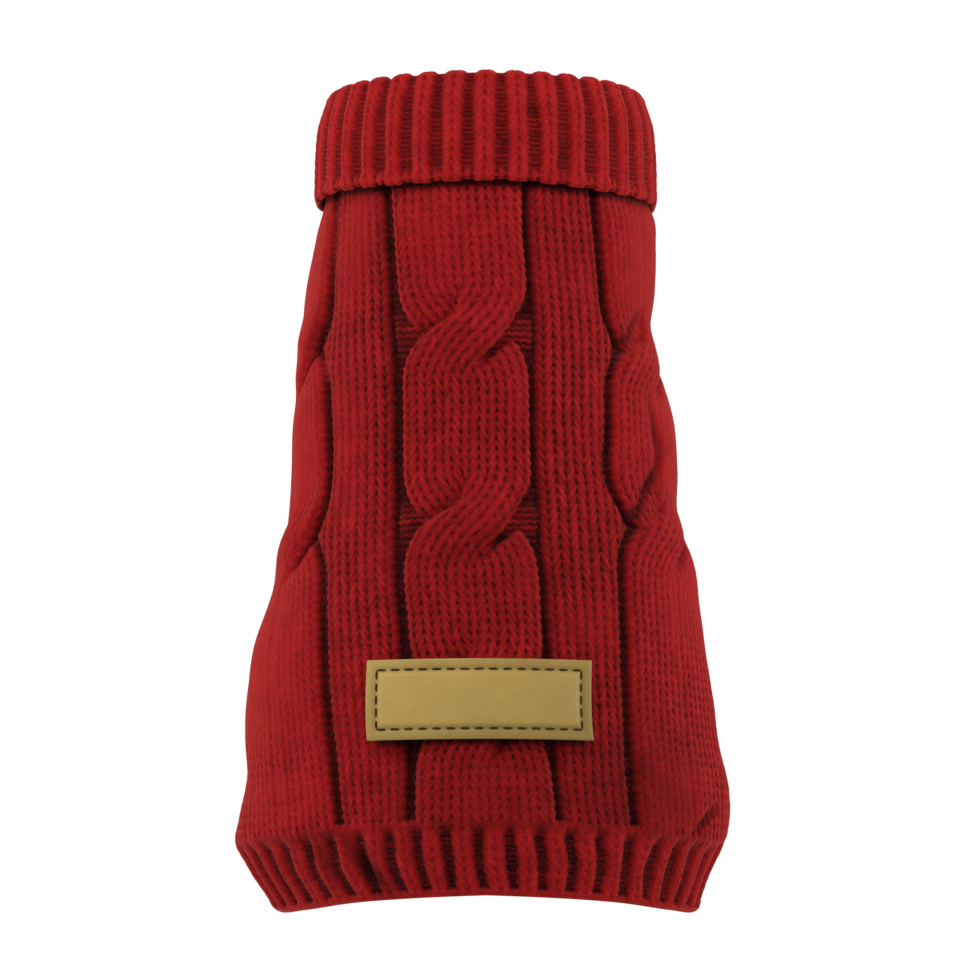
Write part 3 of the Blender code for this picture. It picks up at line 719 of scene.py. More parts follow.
def crease_shade(arcs, heights):
    """How light the cloth is, with painted shade in the sharp troughs: 1 outside them."""
    lift = creased(arcs, heights, sharp_only=True)
    return np.clip(1 + CREASE_SHADE * lift, CREASE_LEAST_TONE, 1)


def quads_between(rows, columns, closed, start):
    """The quads of a grid of vertices numbered by rows."""
    index = start + np.arange(rows * columns).reshape(rows, columns)
    if closed:
        index = np.concatenate([index, index[:, :1]], axis=1)
    a, b = index[:-1, :-1], index[1:, :-1]
    c, d = index[1:, 1:], index[:-1, 1:]
    return np.stack([a, b, c, d], axis=-1).reshape(-1, 4), index


def zip_runs(first, second):
    """Triangles between two runs of vertices that start and end side by side."""
    faces = []
    i = j = 0
    while i < len(first) - 1 or j < len(second) - 1:
        first_next = (i + 1) / max(len(first) - 1, 1)
        second_next = (j + 1) / max(len(second) - 1, 1)
        if j == len(second) - 1 or (i < len(first) - 1 and first_next <= second_next):
            faces.append((first[i], first[i + 1], second[j]))
            i += 1
        else:
            faces.append((first[i], second[j + 1], second[j]))
            j += 1
    return np.array(faces)


def added(name, data):
    """A new object of some data, in the scene."""
    made = bpy.data.objects.new(name, data)
    bpy.context.scene.collection.objects.link(made)
    return made


def mesh_object(name, points, quads, triangles, material, tones=None, rim=None):
    """An object of the given faces, with a tone at each point. Edges along a rim of its points are sharp."""
    flat = np.concatenate([quads.ravel(), triangles.ravel()]).astype(np.int32)
    sizes = np.concatenate([np.full(len(quads), 4), np.full(len(triangles), 3)])
    starts = np.concatenate([[0], np.cumsum(sizes)[:-1]]).astype(np.int32)
    mesh = bpy.data.meshes.new(name)
    mesh.vertices.add(len(points))
    mesh.vertices.foreach_set("co", (points * MM).astype(np.float32).ravel())
    mesh.loops.add(len(flat))
    mesh.loops.foreach_set("vertex_index", flat)
    mesh.polygons.add(len(sizes))
    mesh.polygons.foreach_set("loop_start", starts)
    mesh.update(calc_edges=True)
    if tones is not None:
        layer = mesh.attributes.new("tone", "FLOAT", "POINT")
        layer.data.foreach_set("value", tones.astype(np.float32))
    mesh.shade_smooth()
    if rim is not None:
        ends = np.empty(2 * len(mesh.edges), np.int32)
        mesh.edges.foreach_get("vertices", ends)
        sharp = mesh.attributes.new("sharp_edge", "BOOLEAN", "EDGE")
        sharp.data.foreach_set("value", rim[ends].reshape(-1, 2).all(axis=1))
    mesh.materials.append(material)
    return added(name, mesh)


def facing_out(points, quads, triangles):
    """The faces, turned over where they enclose less than no volume."""
    halves = np.concatenate([quads[:, [0, 1, 2]], quads[:, [0, 2, 3]], triangles])
    a, b, c = (points[halves[:, k]] for k in range(3))
    if np.einsum("ij,ij->i", a, np.cross(b, c)).sum() < 0:
        return quads[:, ::-1], triangles[:, ::-1]
    return quads, triangles


def shell(name, outer, tones, inner, closed, material, with_holes=False):
    """A closed thin shell between two grids, joined along their edges and round the holes through it."""
    count = outer.shape[0] * outer.shape[1]
    outer_quads, outer_index = quads_between(*outer.shape[:2], closed, 0)
    inner_quads, inner_index = quads_between(*inner.shape[:2], closed, count)
    walls = [
        zip_runs(outer_index[0], inner_index[0]),
        zip_runs(outer_index[-1], inner_index[-1])[:, ::-1],
    ]
    if not closed:
        walls.append(zip_runs(outer_index[:, 0], inner_index[:, 0])[:, ::-1])
        walls.append(zip_runs(outer_index[:, -1], inner_index[:, -1]))
    points = np.concatenate([outer.reshape(-1, 3), inner.reshape(-1, 3)])
    if with_holes:
        outer_quads, outer_rims = cut_holes(points, outer_quads)
        inner_quads, inner_rims = cut_holes(points, inner_quads)
        walls += [zip_runs(first, second) for first, second in zip(outer_rims, inner_rims)]
    quads = np.concatenate([outer_quads, inner_quads[:, ::-1]])
    quads, triangles = facing_out(points, quads, np.concatenate(walls))
    tones = np.concatenate([tones.ravel(), np.full(len(points) - count, INSIDE_TONE)])
    rim = np.zeros(len(points), bool)
    rim[outer_index[[0, -1]]] = True
    if not closed:
        rim[outer_index[:, [0, -1]]] = True
    return mesh_object(name, points, quads, triangles, material, tones, rim)


# Materials.
def node(tree, kind, *inputs, **values):
    """A shader node. Each input, by its place or name, is linked or set. Other values are its settings."""
    made = tree.nodes.new(kind)
    made.location = (180 * len(tree.nodes) - 2200, 0)
    for key, value in (*enumerate(inputs), *values.items()):
        if isinstance(value, bpy.types.NodeSocket):
            tree.links.new(value, made.inputs[key])
        elif isinstance(key, int) or key in made.inputs:
            made.inputs[key].default_value = value
        else:
            setattr(made, key, value)
    return made


def texture(tree, kind, output, **values):
    """A solid texture's output, fixed to the object."""
    place = node(tree, "ShaderNodeTexCoord").outputs["Object"]
    return node(tree, kind, Vector=place, **values).outputs[output]


def weighted(tree, value, weight, more):
    """A value times its weight, and more."""
    return node(tree, "ShaderNodeMath", value, weight, more, operation="MULTIPLY_ADD").outputs[0]


def coloured(tree, level, *stops):
    """A colour from a level, by stops of a position and a colour."""
    ramp = node(tree, "ShaderNodeValToRGB", Fac=level)
    elements = ramp.color_ramp.elements
    for number, (position, colour) in enumerate(stops):
        element = elements[number] if number < 2 else elements.new(position)
        element.position = position
        element.color = (*colour, 1.0)
    return ramp.outputs["Color"]


def surface(name, **inputs):
    """A new material with constants on its shader, and its nodes and the shader's inputs to link more to."""
    material = bpy.data.materials.new(name)
    material.use_nodes = True
    tree = material.node_tree
    shader = tree.nodes["Principled BSDF"]
    for key, value in inputs.items():
        shader.inputs[key.replace("_", " ")].default_value = value
    return material, tree, shader.inputs


def bumped(tree, height, strength, distance):
    """A normal that follows a height."""
    return node(tree, "ShaderNodeBump", Height=height, Strength=strength, Distance=distance).outputs["Normal"]


def wool(name, gap, main, crest):
    """Knitted wool: dark between the yarns with painted shade, lighter on their crests with painted light,
    and fuzzy.
    """
    material, tree, inputs = surface(
        name, Roughness=0.92, Specular_IOR_Level=0.05, Sheen_Weight=0.22, Sheen_Roughness=0.40,
        Sheen_Tint=(1.0, 0.11, 0.08, 1.0),
    )
    tone = node(tree, "ShaderNodeAttribute", attribute_name="tone").outputs["Fac"]
    patchy = texture(tree, "ShaderNodeTexNoise", "Fac", Scale=150.0, Detail=6.0, Roughness=0.66)
    fibres = texture(tree, "ShaderNodeTexNoise", "Fac", Scale=1500.0, Detail=3.0, Roughness=0.65)
    level = -0.5 * (FIBRES_WEIGHT + PATCHY_WEIGHT)
    for source, weight in ((tone, TONE_WEIGHT), (fibres, FIBRES_WEIGHT), (patchy, PATCHY_WEIGHT)):
        level = weighted(tree, source, weight, level)
    # The ramp paints shade with the gap colour where the tone is low, and paints light with the crest colour
    # where it is high.
    tree.links.new(coloured(tree, level, (0.06, gap), (1, crest), (0.55, main)), inputs["Base Color"])
    tree.links.new(bumped(tree, fibres, 0.8, 0.0005), inputs["Normal"])
    return material


def leather(name, darker_colour, lighter_colour):
    """Leatherette with a fine grain, lighter where its tone is higher."""
    material, tree, inputs = surface(name, Roughness=0.55, Specular_IOR_Level=0.2)
    clouds = texture(tree, "ShaderNodeTexNoise", "Fac", Scale=90.0, Detail=5.0, Roughness=0.6)
    grain = texture(tree, "ShaderNodeTexVoronoi", "Distance", Scale=1500.0)
    tone = node(tree, "ShaderNodeAttribute", attribute_name="tone").outputs["Fac"]
    level = weighted(tree, clouds, 0.4, tone)
    # The darker colour takes the border and the painted shade to the lower right; the lighter one takes the
    # puffed middle and the painted light to the upper left.
    tree.links.new(coloured(tree, level, (0.20, darker_colour), (1, lighter_colour)), inputs["Base Color"])
    tree.links.new(bumped(tree, grain, 0.35, 0.00015), inputs["Normal"])
    return material


def thread(name, dark, light):
    """Sewing thread."""
    material, tree, inputs = surface(name, Roughness=0.8, Specular_IOR_Level=0.1)
    twist = texture(tree, "ShaderNodeTexNoise", "Fac", Scale=900.0, Detail=2.0)
    tree.links.new(coloured(tree, twist, (0, dark), (1, light)), inputs["Base Color"])
    return material


TONE_WEIGHT, FIBRES_WEIGHT, PATCHY_WEIGHT = 0.78, 0.72, 0.42
RED_WOOL = wool("red_wool", (0.006, 0.0002, 0.0004), (0.100, 0.0018, 0.0022), (0.220, 0.0060, 0.0062))
LEATHER = leather("tan_leather", (0.095, 0.056, 0.007), (0.205, 0.139, 0.030))
THREAD = thread("brown_thread", (0.006, 0.003, 0.001), (0.030, 0.016, 0.005))


# The body's panels. A pattern is how a panel is knitted: its columns a stitch, its columns beyond the fixed
# ones out to a side seam, its rows a course, the arc of a place, the place of a side seam, its lift and tone,
# the seed of its unevenness, and whether the leg openings are in it. The belly's fixed columns end short of
# its side seams, which come nearest to its middle line at the neck.
Pattern = namedtuple("Pattern", "wale_columns side_columns course_rows arc_of seam_at knit seed with_holes")
BELLY_FIXED = (-8.5, 12.5)
MEETING_GAP = 0.05
CURL = 1.6
CURL_REACH = 0.9
EVEN_COURSES = 4.0


def unevenly_set(arcs, heights, stitches, courses, seed):
    """Arcs and heights moved a little, because no stitch lies quite in line."""
    fade = ease(courses / EVEN_COURSES) * ease((COURSES - courses) / EVEN_COURSES)
    arcs = arcs + 0.7 * fade * (drifting(stitches * 0.45, courses * 0.22, seed) - 0.5)
    heights = heights + 0.9 * fade * (drifting(stitches * 0.35, courses * 0.28, seed + 1) - 0.5)
    return arcs, heights


def panel_grid(rows, fixed, side_columns, pattern, sides):
    """Heights, arcs and places over a panel: its fixed columns, and more out to the seam on each of its
    sides. A row's height follows the hem, so heights and arcs settle together."""
    down = np.linspace(0, 1, rows + 1)[:, None]
    share = np.linspace(0, 1, side_columns + 1)[1:]

    def places(heights):
        parts = [np.broadcast_to(fixed, (len(heights), len(fixed)))]
        if -1 in sides:
            parts.insert(0, (fixed[0] + (pattern.seam_at(-1, heights[:, :1]) - fixed[0]) * share)[:, ::-1])
        if 1 in sides:
            parts.append(fixed[-1] + (pattern.seam_at(1, heights[:, -1:]) - fixed[-1]) * share)
        return np.concatenate(parts, axis=1)

    heights = panel_heights(down, np.zeros((1, len(fixed) + side_columns * len(sides))))
    for _ in range(4):
        shares = pattern.arc_of(heights, places(heights)) / half_girth(heights)
        heights = panel_heights(down, np.abs((shares + 1) % 2 - 1))
    found = places(heights)
    return heights, pattern.arc_of(heights, found), found


def make_panel(name, pattern, ends, sides):
    """A panel whose fixed columns run between two ends. It goes on to the seam on each of its sides."""
    fixed = np.linspace(*ends, int(round((ends[1] - ends[0]) * pattern.wale_columns)) + 1)
    rows = COURSES * pattern.course_rows
    heights, arcs, places = panel_grid(rows, fixed, pattern.side_columns, pattern, sides)
    courses = np.linspace(0, 1, rows + 1)[:, None] * COURSES
    lift, tone = pattern.knit(places, arcs, heights, courses)
    lift, tone = lift + creased(arcs, heights), tone * crease_shade(arcs, heights)
    for side in sides:
        at_seam = places[:, :1] if side < 0 else places[:, -1:]
        lift = lift - CURL * bell((places - at_seam) * STITCH / CURL_REACH)
    arcs, heights = unevenly_set(arcs, heights, places, courses, pattern.seed)
    outer = body_points(heights, arcs, lift)
    fewer = fixed[:: pattern.wale_columns // 2]
    heights, arcs, _ = panel_grid(COURSES, fewer, pattern.side_columns // 4, pattern, sides)
    inner = body_points(heights, arcs, INNER_LIFT + creased(arcs, heights))
    return shell(name, outer, tone, inner, False, RED_WOOL, pattern.with_holes)


def back_seam(side, heights):
    """A side seam's place in the back's pattern: side -1 is the left one, and 1 the right one."""
    return side * seam_stitches(heights)


def belly_arc(heights, places):
    """The arc of a place counted in stitches from the belly's middle line."""
    return half_girth(heights) - places * STITCH


def belly_seam(side, heights):
    """A side seam's place counted in stitches from the belly's middle line."""
    along = np.abs(arc_of_stitch(heights, back_seam(side, heights))) + MEETING_GAP
    return side * (half_girth(heights) - along) / STITCH


BACK = Pattern(10, 32, 7, arc_of_stitch, back_seam, back_knit, 40, False)
BELLY = Pattern(6, 84, 4, belly_arc, belly_seam, belly_knit, 50, True)


# The leg openings, as in the solids.
LEG_HEIGHT = -98.0
LEG_FROM_BACK = math.radians(140.0)
LEG_OUTWARD = 0.55
LEG_HALF_WIDTH = 16.0
LEG_HALF_HEIGHT = 22.0
UP = np.array([0.0, 0.0, 1.0])


def leg_frame(side):
    """A leg opening's middle on the cloth, its axis out of the body, and the level direction across it."""
    x, y, _, _ = section(np.array([LEG_HEIGHT]), np.array([side * LEG_FROM_BACK]))
    axis = np.array([side * LEG_OUTWARD, 1.0, 0.0]) / math.hypot(LEG_OUTWARD, 1.0)
    return np.array([x[0], y[0], LEG_HEIGHT]), axis, np.cross(UP, axis)


LEG_FRAMES = [leg_frame(side) for side in (-1, 1)]


def cut_holes(points, quads):
    """Opens the leg holes in a sheet: the quads that are left, and each hole's rim of vertices in order."""
    rims = []
    for middle, axis, across in LEG_FRAMES:
        aside, above = (points - middle) @ across, (points - middle) @ UP
        reach = np.hypot(aside / LEG_HALF_WIDTH, above / LEG_HALF_HEIGHT)
        near = (points - middle) @ axis > -30
        cut = (reach[quads].mean(axis=1) < 1) & near[quads].all(axis=1)
        removed, quads = quads[cut], quads[~cut]
        edges = np.concatenate([removed[:, [k, (k + 1) % 4]] for k in range(4)])
        inside = {(a, b) for a, b in edges.tolist()}
        following = {a: b for a, b in inside if (b, a) not in inside}
        rim = [max(following, key=lambda k: aside[k])]
        while following[rim[-1]] != rim[0]:
            rim.append(following[rim[-1]])
        rim = np.array([*rim, rim[0]])
        growth = (1 / reach[rim[:-1]] - 1)[:, None]
        points[rim[:-1]] += growth * (aside[rim[:-1], None] * across + above[rim[:-1], None] * UP)
        rims.append(rim)
    return quads, rims


# Ribbed pieces: a rib is one plain wale, and a groove one purl wale.
def stacked(*runs):
    """Runs of values, one after the other, as a column."""
    return np.concatenate(runs)[:, None]


def rolled_edge(flat, radius, rows):
    """A band's rows at some distances from its edge, and more round its rolled edge: distances from the edge
    along the cloth, distances straight from it, and how far the rows are rolled aside."""
    turn = np.linspace(0, math.pi, rows + 1)[1:]
    along = stacked(flat, radius * (1 - turn / math.pi))
    straight = stacked(flat, radius * (1 - np.sin(turn)))
    return along, straight, stacked(0 * flat, radius * (1 - np.cos(turn)))


RIB_COLUMNS = 14
RIB_ROW = 0.36
COURSE_HEIGHT = 3.07
RIB_ROUNDING = 2.6
RIB_LEG_SHARE = 0.52
RIB_BAR_HEIGHT = 0.7
FILLED_LIFT = -0.35


def rib_knit(ribs, courses, depth, filled, rib_share, rung_tone, seed):
    """Lift and tone of one by one rib. A groove's middle is at each whole number of ribs. Where a groove is
    filled, its purl wale comes up level with the ribs."""
    inside = ribs - np.floor(ribs) - 0.5
    aside = np.abs(inside) / (rib_share / 2)
    wales = np.floor(ribs) + np.clip(inside / rib_share + 0.5, 0, 0.999)
    legs = 1 - RIB_LEG_SHARE * (1 - knit_legs(wales, courses, seed))
    bars = purl_bars(ribs + 0.5, courses * 2, seed + 1)
    level_legs = knit_legs(2 * ribs + 0.25, courses, seed + 2)
    level = FILLED_LIFT + 0.8 * LEG_DEPTH * (level_legs - 1)
    fall = unit(aside) ** RIB_ROUNDING
    knit = -depth * (1 - filled) * fall + LEG_DEPTH * (legs - 1)
    purl = -1.05 * depth - 0.2 + RIB_BAR_HEIGHT * (bars - 0.5)
    purl = purl + filled * (level - purl)
    in_rib = (aside < 1.05) & (knit > purl)
    # Painted shade: the ribs darken down their sides, and the rungs in the grooves are darker still.
    shaded = np.clip(1 - 0.14 * depth * (1 - filled) * fall, 0.3, 1)
    rungs = rung_tone * (0.25 + 0.75 * bars)
    rungs = rungs + filled * (level_legs - rungs)
    return np.where(in_rib, knit, purl), np.where(in_rib, legs * shaded, rungs)


Section = namedtuple("Section", "radius height")
COLLAR_CREST = [Section(*row) for row in (
    (52.6, -21.6), (53.4, -22.4), (54.5, -21.8), (55.2, -19.4), (55.2, -16), (54.9, -5), (53.8, 4.5),
    (52.1, 9.6), (50.8, 13), (47.6, 14.5), (44.4, 13), (43.1, 9.6), (43.9, 1), (46.8, -8.6), (46.8, -9.85),
)]
COLLAR_PLAIN = [Section(*row) for row in (
    (52.9, -21.8), (52, -12), (50.9, 0.8), (48.7, 9.6), (47.6, 10.9), (46.5, 9.6), (47.2, 1), (50.2, -9.85),
)]
COLLAR_FOLD_START = 9.6
COLLAR_RIBS = 33
COLLAR_RIB_DEPTH = 1.7
COLLAR_FILLED_TO = 4.6
COLLAR_OPEN_FROM = 7.2
COLLAR_EDGE_SCALLOP = 0.12
# Painted light: the whole collar's tone is raised above the body's.
COLLAR_PAINTED_LIGHT = 1.14
COLLAR_RIB_SHARE = 0.64
FOLD_FLATTER = 0.35
SIDE_FLATTER = 0.45
COLLAR_SIDE_REACH = 0.35
COLLAR_SIDE_ANGLE = math.radians(78.0)
COLLAR_CENTRE_X = 0.2
COLLAR_FIRST_GROOVE = math.radians(5.3)
COLLAR_SEEN = 50.0
PROFILE_STEP = 0.25
Along = namedtuple("Along", "along radius height")


def along_profile(sections):
    """A profile's sections with their distance along it."""
    rows = [Along(0, *sections[0])]
    for before, after in zip(sections, sections[1:]):
        step = math.hypot(after.radius - before.radius, after.height - before.height)
        rows.append(Along(rows[-1].along + step, *after))
    return rows


def collar_points(profile, along, angles, lift):
    """Points round the collar on a profile, with its turned-down edge hanging as it does."""
    rows = along_profile(profile)

    def profile_at(distance):
        return [smooth_column(rows, name, distance, key="along") for name in ("radius", "height")]

    radius, height = profile_at(along)
    further, nearer = profile_at(along + PROFILE_STEP), profile_at(along - PROFILE_STEP)
    out, up = further[1] - nearer[1], nearer[0] - further[0]
    size = np.hypot(out, up)
    radius, height = radius + lift * out / size, height + lift * up / size
    outside = along < rows[-1].along / 2
    start = profile[0].height
    hanging = ease((COLLAR_FOLD_START - height) / (COLLAR_FOLD_START - start)) * outside
    height = height + hanging * (collar_edge_height(angles) - COLLAR_EDGE)
    return np.stack([COLLAR_CENTRE_X + radius * np.sin(angles), -radius * np.cos(angles), height], axis=-1)


def make_collar():
    """The ribbed neck tube, folded down outside itself."""
    length = along_profile(COLLAR_CREST)[-1].along
    seen = np.arange(0, COLLAR_SEEN, RIB_ROW)
    hidden = np.linspace(COLLAR_SEEN, length, int((length - COLLAR_SEEN) / (2.5 * RIB_ROW)))
    along = stacked(seen, hidden)
    ribs = np.arange(COLLAR_RIBS * RIB_COLUMNS) / RIB_COLUMNS
    angles = COLLAR_FIRST_GROOVE + ribs * TURN / COLLAR_RIBS
    depth = COLLAR_RIB_DEPTH * (0.85 + 0.3 * drifting(ribs * 0.7, along * 0.06, 60))
    depth = depth * (1 - FOLD_FLATTER * ease((along - 28) / 10))
    turned = (angles + math.pi) % TURN - math.pi
    depth = depth * (1 - SIDE_FLATTER * bell((np.abs(turned) - COLLAR_SIDE_ANGLE) / COLLAR_SIDE_REACH))
    filled = 1 - ease((along - COLLAR_FILLED_TO) / (COLLAR_OPEN_FROM - COLLAR_FILLED_TO))
    rib_share = COLLAR_RIB_SHARE + 0.14 * ease((along - 14) / 22)
    rib_share = rib_share + 0.06 * (drifting(ribs * 0.6, along * 0.08, 66) - 0.5)
    lift, tone = rib_knit(ribs, along / COURSE_HEIGHT, depth, filled, rib_share, 0.62, 61)
    lift = lift - COLLAR_EDGE_SCALLOP * np.cos(TURN * ribs) * ease((3.5 - along) / 2)
    sway = 0.022 * (drifting(ribs * 0.9, along * 0.07, 64) - 0.5)
    outer = collar_points(COLLAR_CREST, along, angles + sway, lift)
    along = np.linspace(0, along_profile(COLLAR_PLAIN)[-1].along, 24)[:, None]
    angles = COLLAR_FIRST_GROOVE + np.arange(COLLAR_RIBS * 4) * TURN / (COLLAR_RIBS * 4)
    inner = collar_points(COLLAR_PLAIN, along, angles, 0)
    # The collar's tone is lifted as painted light.
    return shell("collar_rib", outer, COLLAR_PAINTED_LIGHT * tone, inner, True, RED_WOOL)


HEM_RIB_DEPTH = 1.7
HEM_BLEND = 4.5
HEM_EDGE_RADIUS = 1.6
HEM_RIM_ROWS = 9
# Painted shade: the whole hem band's tone is lowered below the body's.
HEM_PAINTED_SHADE = 0.95
CORD_WIDTH = 1.0
CORD_LIFT = 0.25
CORD_TONE = 0.85


def hem_places(count, from_edge):
    """Heights and arcs round the hem band, at distances up from its edge."""
    shares = (np.arange(count) / count + 0.5) % 1 * 2 - 1
    heights = hem_edge_height(shares) + from_edge
    return heights, shares * half_girth(heights)


def make_hem():
    """The ribbed band round the bottom edge, ending in a thin rolled cord."""
    count = HEM_RIBS * RIB_COLUMNS
    ribs = np.arange(count) / RIB_COLUMNS
    rows = int(HEM_DEPTH / RIB_ROW)
    flat = HEM_DEPTH * (1 - np.linspace(0, 1 - HEM_EDGE_RADIUS / HEM_DEPTH, rows))
    from_edge, above_edge, rolled_in = rolled_edge(flat, HEM_EDGE_RADIUS, HEM_RIM_ROWS)
    depth = HEM_RIB_DEPTH * (0.75 + 0.5 * drifting(ribs * 0.6, from_edge * 0.07, 70))
    filled = 1 - ease((from_edge - HEM_EDGE_RADIUS) / 1.2)
    rib_share = 0.60 + 0.24 * drifting(ribs * 0.8, from_edge * 0.09, 74)
    swayed = ribs + 0.34 * (drifting(ribs * 0.5, from_edge * 0.10, 72) - 0.5)
    from_top = HEM_DEPTH - from_edge
    lift, tone = rib_knit(swayed, from_top / COURSE_HEIGHT, depth, filled, rib_share, 0.3, 71)
    on_cord = ease(1 - (from_edge - CORD_WIDTH) / CORD_WIDTH)
    lift, tone = lift + on_cord * (CORD_LIFT - lift), tone + on_cord * (CORD_TONE - tone)
    heights, arcs = hem_places(count, above_edge)
    body_lift, body_tone = body_knit(arcs, heights, COURSES + from_top / COURSE_HEIGHT)
    own = ease(from_top / HEM_BLEND)
    lift, tone = body_lift + own * (lift - body_lift), body_tone + own * (tone - body_tone)
    # The hem's tone is lowered as painted shade, and darkened further by painted shade in the sharp troughs.
    tone = HEM_PAINTED_SHADE * tone * crease_shade(arcs, heights)
    outer = body_points(heights, arcs, lift - rolled_in + creased(arcs, heights))
    above_edge = HEM_DEPTH * np.linspace(0, 1, 9)[:, None]
    above_edge[0] = HEM_EDGE_RADIUS + 0.3
    heights, arcs = hem_places(HEM_RIBS * 4, above_edge)
    inner = body_points(heights, arcs, INNER_LIFT + creased(arcs, heights))[::-1]
    return shell("hem_rib", outer, tone, inner, True, RED_WOOL)


LEG_RIBS = 14
LEG_RIB_DEPTH = 1.5
LEG_BAND_WALL = 3.0
LEG_BAND_OUT = 12.0
LEG_EDGE_RADIUS = 1.5
LEG_RIM_ROWS = 7
LEG_BAND_SHORTER = 1.8
LEG_BAND_TAPER = 0.9


def inside_body(points):
    """Whether points lie within the crest of the body's cloth."""
    ring = ring_at(points[..., 2])
    aside, behind = points[..., 0] - ring.centre_x, points[..., 1] - ring.centre_y
    depth = np.where(behind > 0, ring.belly_depth, ring.back_depth)
    return (aside / ring.half_width) ** 2 + (behind / depth) ** 2 < 1


def crest_along(points, axis):
    """Where lines through some points along an axis come out of the body's cloth."""
    low, high = np.full(len(points), -40.0), np.full(len(points), 40.0)
    for _ in range(30):
        half = (low + high) / 2
        within = inside_body(points + half[:, None] * axis)
        low, high = np.where(within, half, low), np.where(within, high, half)
    return points + low[:, None] * axis


def make_leg_band(name, frame_of_leg, seed):
    """A short ribbed tube that stands in a leg opening, with a rolled edge."""
    middle, axis, across = frame_of_leg
    count = LEG_RIBS * RIB_COLUMNS
    angles = np.arange(count) * TURN / count
    aside, above = np.cos(angles)[:, None] * across, np.sin(angles)[:, None] * UP
    outward = aside + above
    crest = crest_along(middle + aside * LEG_HALF_WIDTH + above * LEG_HALF_HEIGHT, axis)

    def points(out, inset):
        return crest + out[..., None] * axis - inset[..., None] * outward

    ribs = np.arange(count) / RIB_COLUMNS
    flat = LEG_BAND_OUT - np.arange(INNER_LIFT, LEG_BAND_OUT - LEG_EDGE_RADIUS, RIB_ROW)
    from_edge, short_of_edge, rolled_in = rolled_edge(flat, LEG_EDGE_RADIUS, LEG_RIM_ROWS)
    out = LEG_BAND_OUT - short_of_edge
    filled = 1 - ease((from_edge - 1.6) / 1.6) * ease((out + 1) / 3)
    lift, tone = rib_knit(ribs, out / COURSE_HEIGHT, LEG_RIB_DEPTH, filled, 0.62, 0.5, seed)
    draw_in = SEAM_GAP + LEG_BAND_TAPER * unit(out / LEG_BAND_OUT)
    outer = points(np.broadcast_to(out, lift.shape), draw_in + rolled_in - lift)
    few = np.arange(LEG_RIBS * 4) * (RIB_COLUMNS // 4)
    crest, outward = crest[few], outward[few]
    out = np.linspace(INNER_LIFT, LEG_BAND_OUT - LEG_BAND_SHORTER, 8)[:, None]
    size = len(out), len(few)
    inner = points(np.broadcast_to(out, size), np.full(size, LEG_BAND_WALL + LEG_BAND_TAPER))
    return shell(name, outer, tone, inner, True, RED_WOOL)


# The patch: thin leather over the crests, with its middle puffed inside a line of stitches.
LABEL_LIFT = 3.2
LABEL_THICKNESS = 1.2
STITCH_INSET = 3.3
STITCH_PITCH = 4.25
STITCH_LENGTH = 2.9
STITCH_RADIUS = 0.42
STITCH_ALONG = np.array([-1.0, -0.85, -0.45, 0.0, 0.45, 0.85, 1.0])
STITCH_THICK = np.array([0.25, 0.75, 1.0, 1.05, 1.0, 0.75, 0.25])
STITCH_TURNS = np.arange(8) * math.pi / 4
LABEL_SKEW = 0.45
LABEL_SPREAD = 0.004


def label_points(aside, above, lift):
    """Points on the patch, counted from its middle. It bows a little between what it is sewn to."""
    bow = 0.35 * np.sin(aside * 0.13 + 0.6) * np.cos(above * 0.12)
    up = above / (LABEL_HEIGHT / 2)
    aside = aside * (1 - LABEL_SPREAD * up) + LABEL_SKEW * up
    return body_points(LABEL_MIDDLE_HEIGHT + above, LABEL_ARC + aside, LABEL_LIFT + bow + lift)


def from_border(aside, above):
    """How far in from the patch's border a place is."""
    return np.minimum(LABEL_WIDTH / 2 - np.abs(aside), LABEL_HEIGHT / 2 - np.abs(above))


def label_relief(aside, above):
    """How far the patch's face stands above its border: a seam of stitches round a puffed middle."""
    inset = from_border(aside, above)
    seam = -0.5 * bell((inset - STITCH_INSET) / 0.7)
    puff = 0.65 * ease((inset - STITCH_INSET - 0.2) / 1.5)
    edge = -0.35 * (1 - unit(inset / 0.7)) ** 2
    return seam + puff + edge


def label_tone(aside, above):
    """How light the leather is: most in the puffed middle, with painted light to the upper left and painted
    shade to the lower right.
    """
    inset = from_border(aside, above)
    return 0.24 + 0.24 * ease((inset - STITCH_INSET) / 1.2) - 0.0048 * aside + 0.008 * above


def make_label():
    """The patch, as a closed plate."""
    aside = LABEL_WIDTH * np.linspace(-0.5, 0.5, 139)
    above = LABEL_HEIGHT * np.linspace(0.5, -0.5, 52)[:, None]
    outer = label_points(aside, above, LABEL_THICKNESS + label_relief(aside, above))
    inner = label_points(aside[::6], above[::3], 0)
    return shell("label_patch", outer, label_tone(aside, above), inner, False, LEATHER)


def runs_of_stitches():
    """The running stitches round the patch: the middle and the direction of each."""
    half_width = LABEL_WIDTH / 2 - STITCH_INSET
    half_height = LABEL_HEIGHT / 2 - STITCH_INSET
    runs = []
    for sign in (-1, 1):
        runs += [(x, sign * half_height, 1, 0) for x in (np.arange(15) - 7) * STITCH_PITCH]
        runs += [(sign * half_width, y, 0, 1) for y in (np.arange(5) - 2) * (STITCH_PITCH * 0.92)]
    return runs


def stitch_points(number, x, y, ax, ay):
    """Points round one running stitch: a short plump thread sunk into the leather."""
    length = STITCH_LENGTH * (0.92 + 0.16 * scattered(number, 1, 80)) / 2
    slant = 0.10 * (scattered(number, 2, 80) - 0.5)
    ax, ay = ax - slant * ay, ay + slant * ax
    along = STITCH_ALONG[:, None]
    across = STITCH_RADIUS * np.outer(STITCH_THICK, np.cos(STITCH_TURNS))
    height = STITCH_RADIUS * 0.8 * np.outer(STITCH_THICK, np.sin(STITCH_TURNS)) - 0.16 * along**2
    base = LABEL_THICKNESS + label_relief(x, y) + 0.12
    aside, above = x + along * length * ax - across * ay, y + along * length * ay + across * ax
    return label_points(aside, above, base + height)


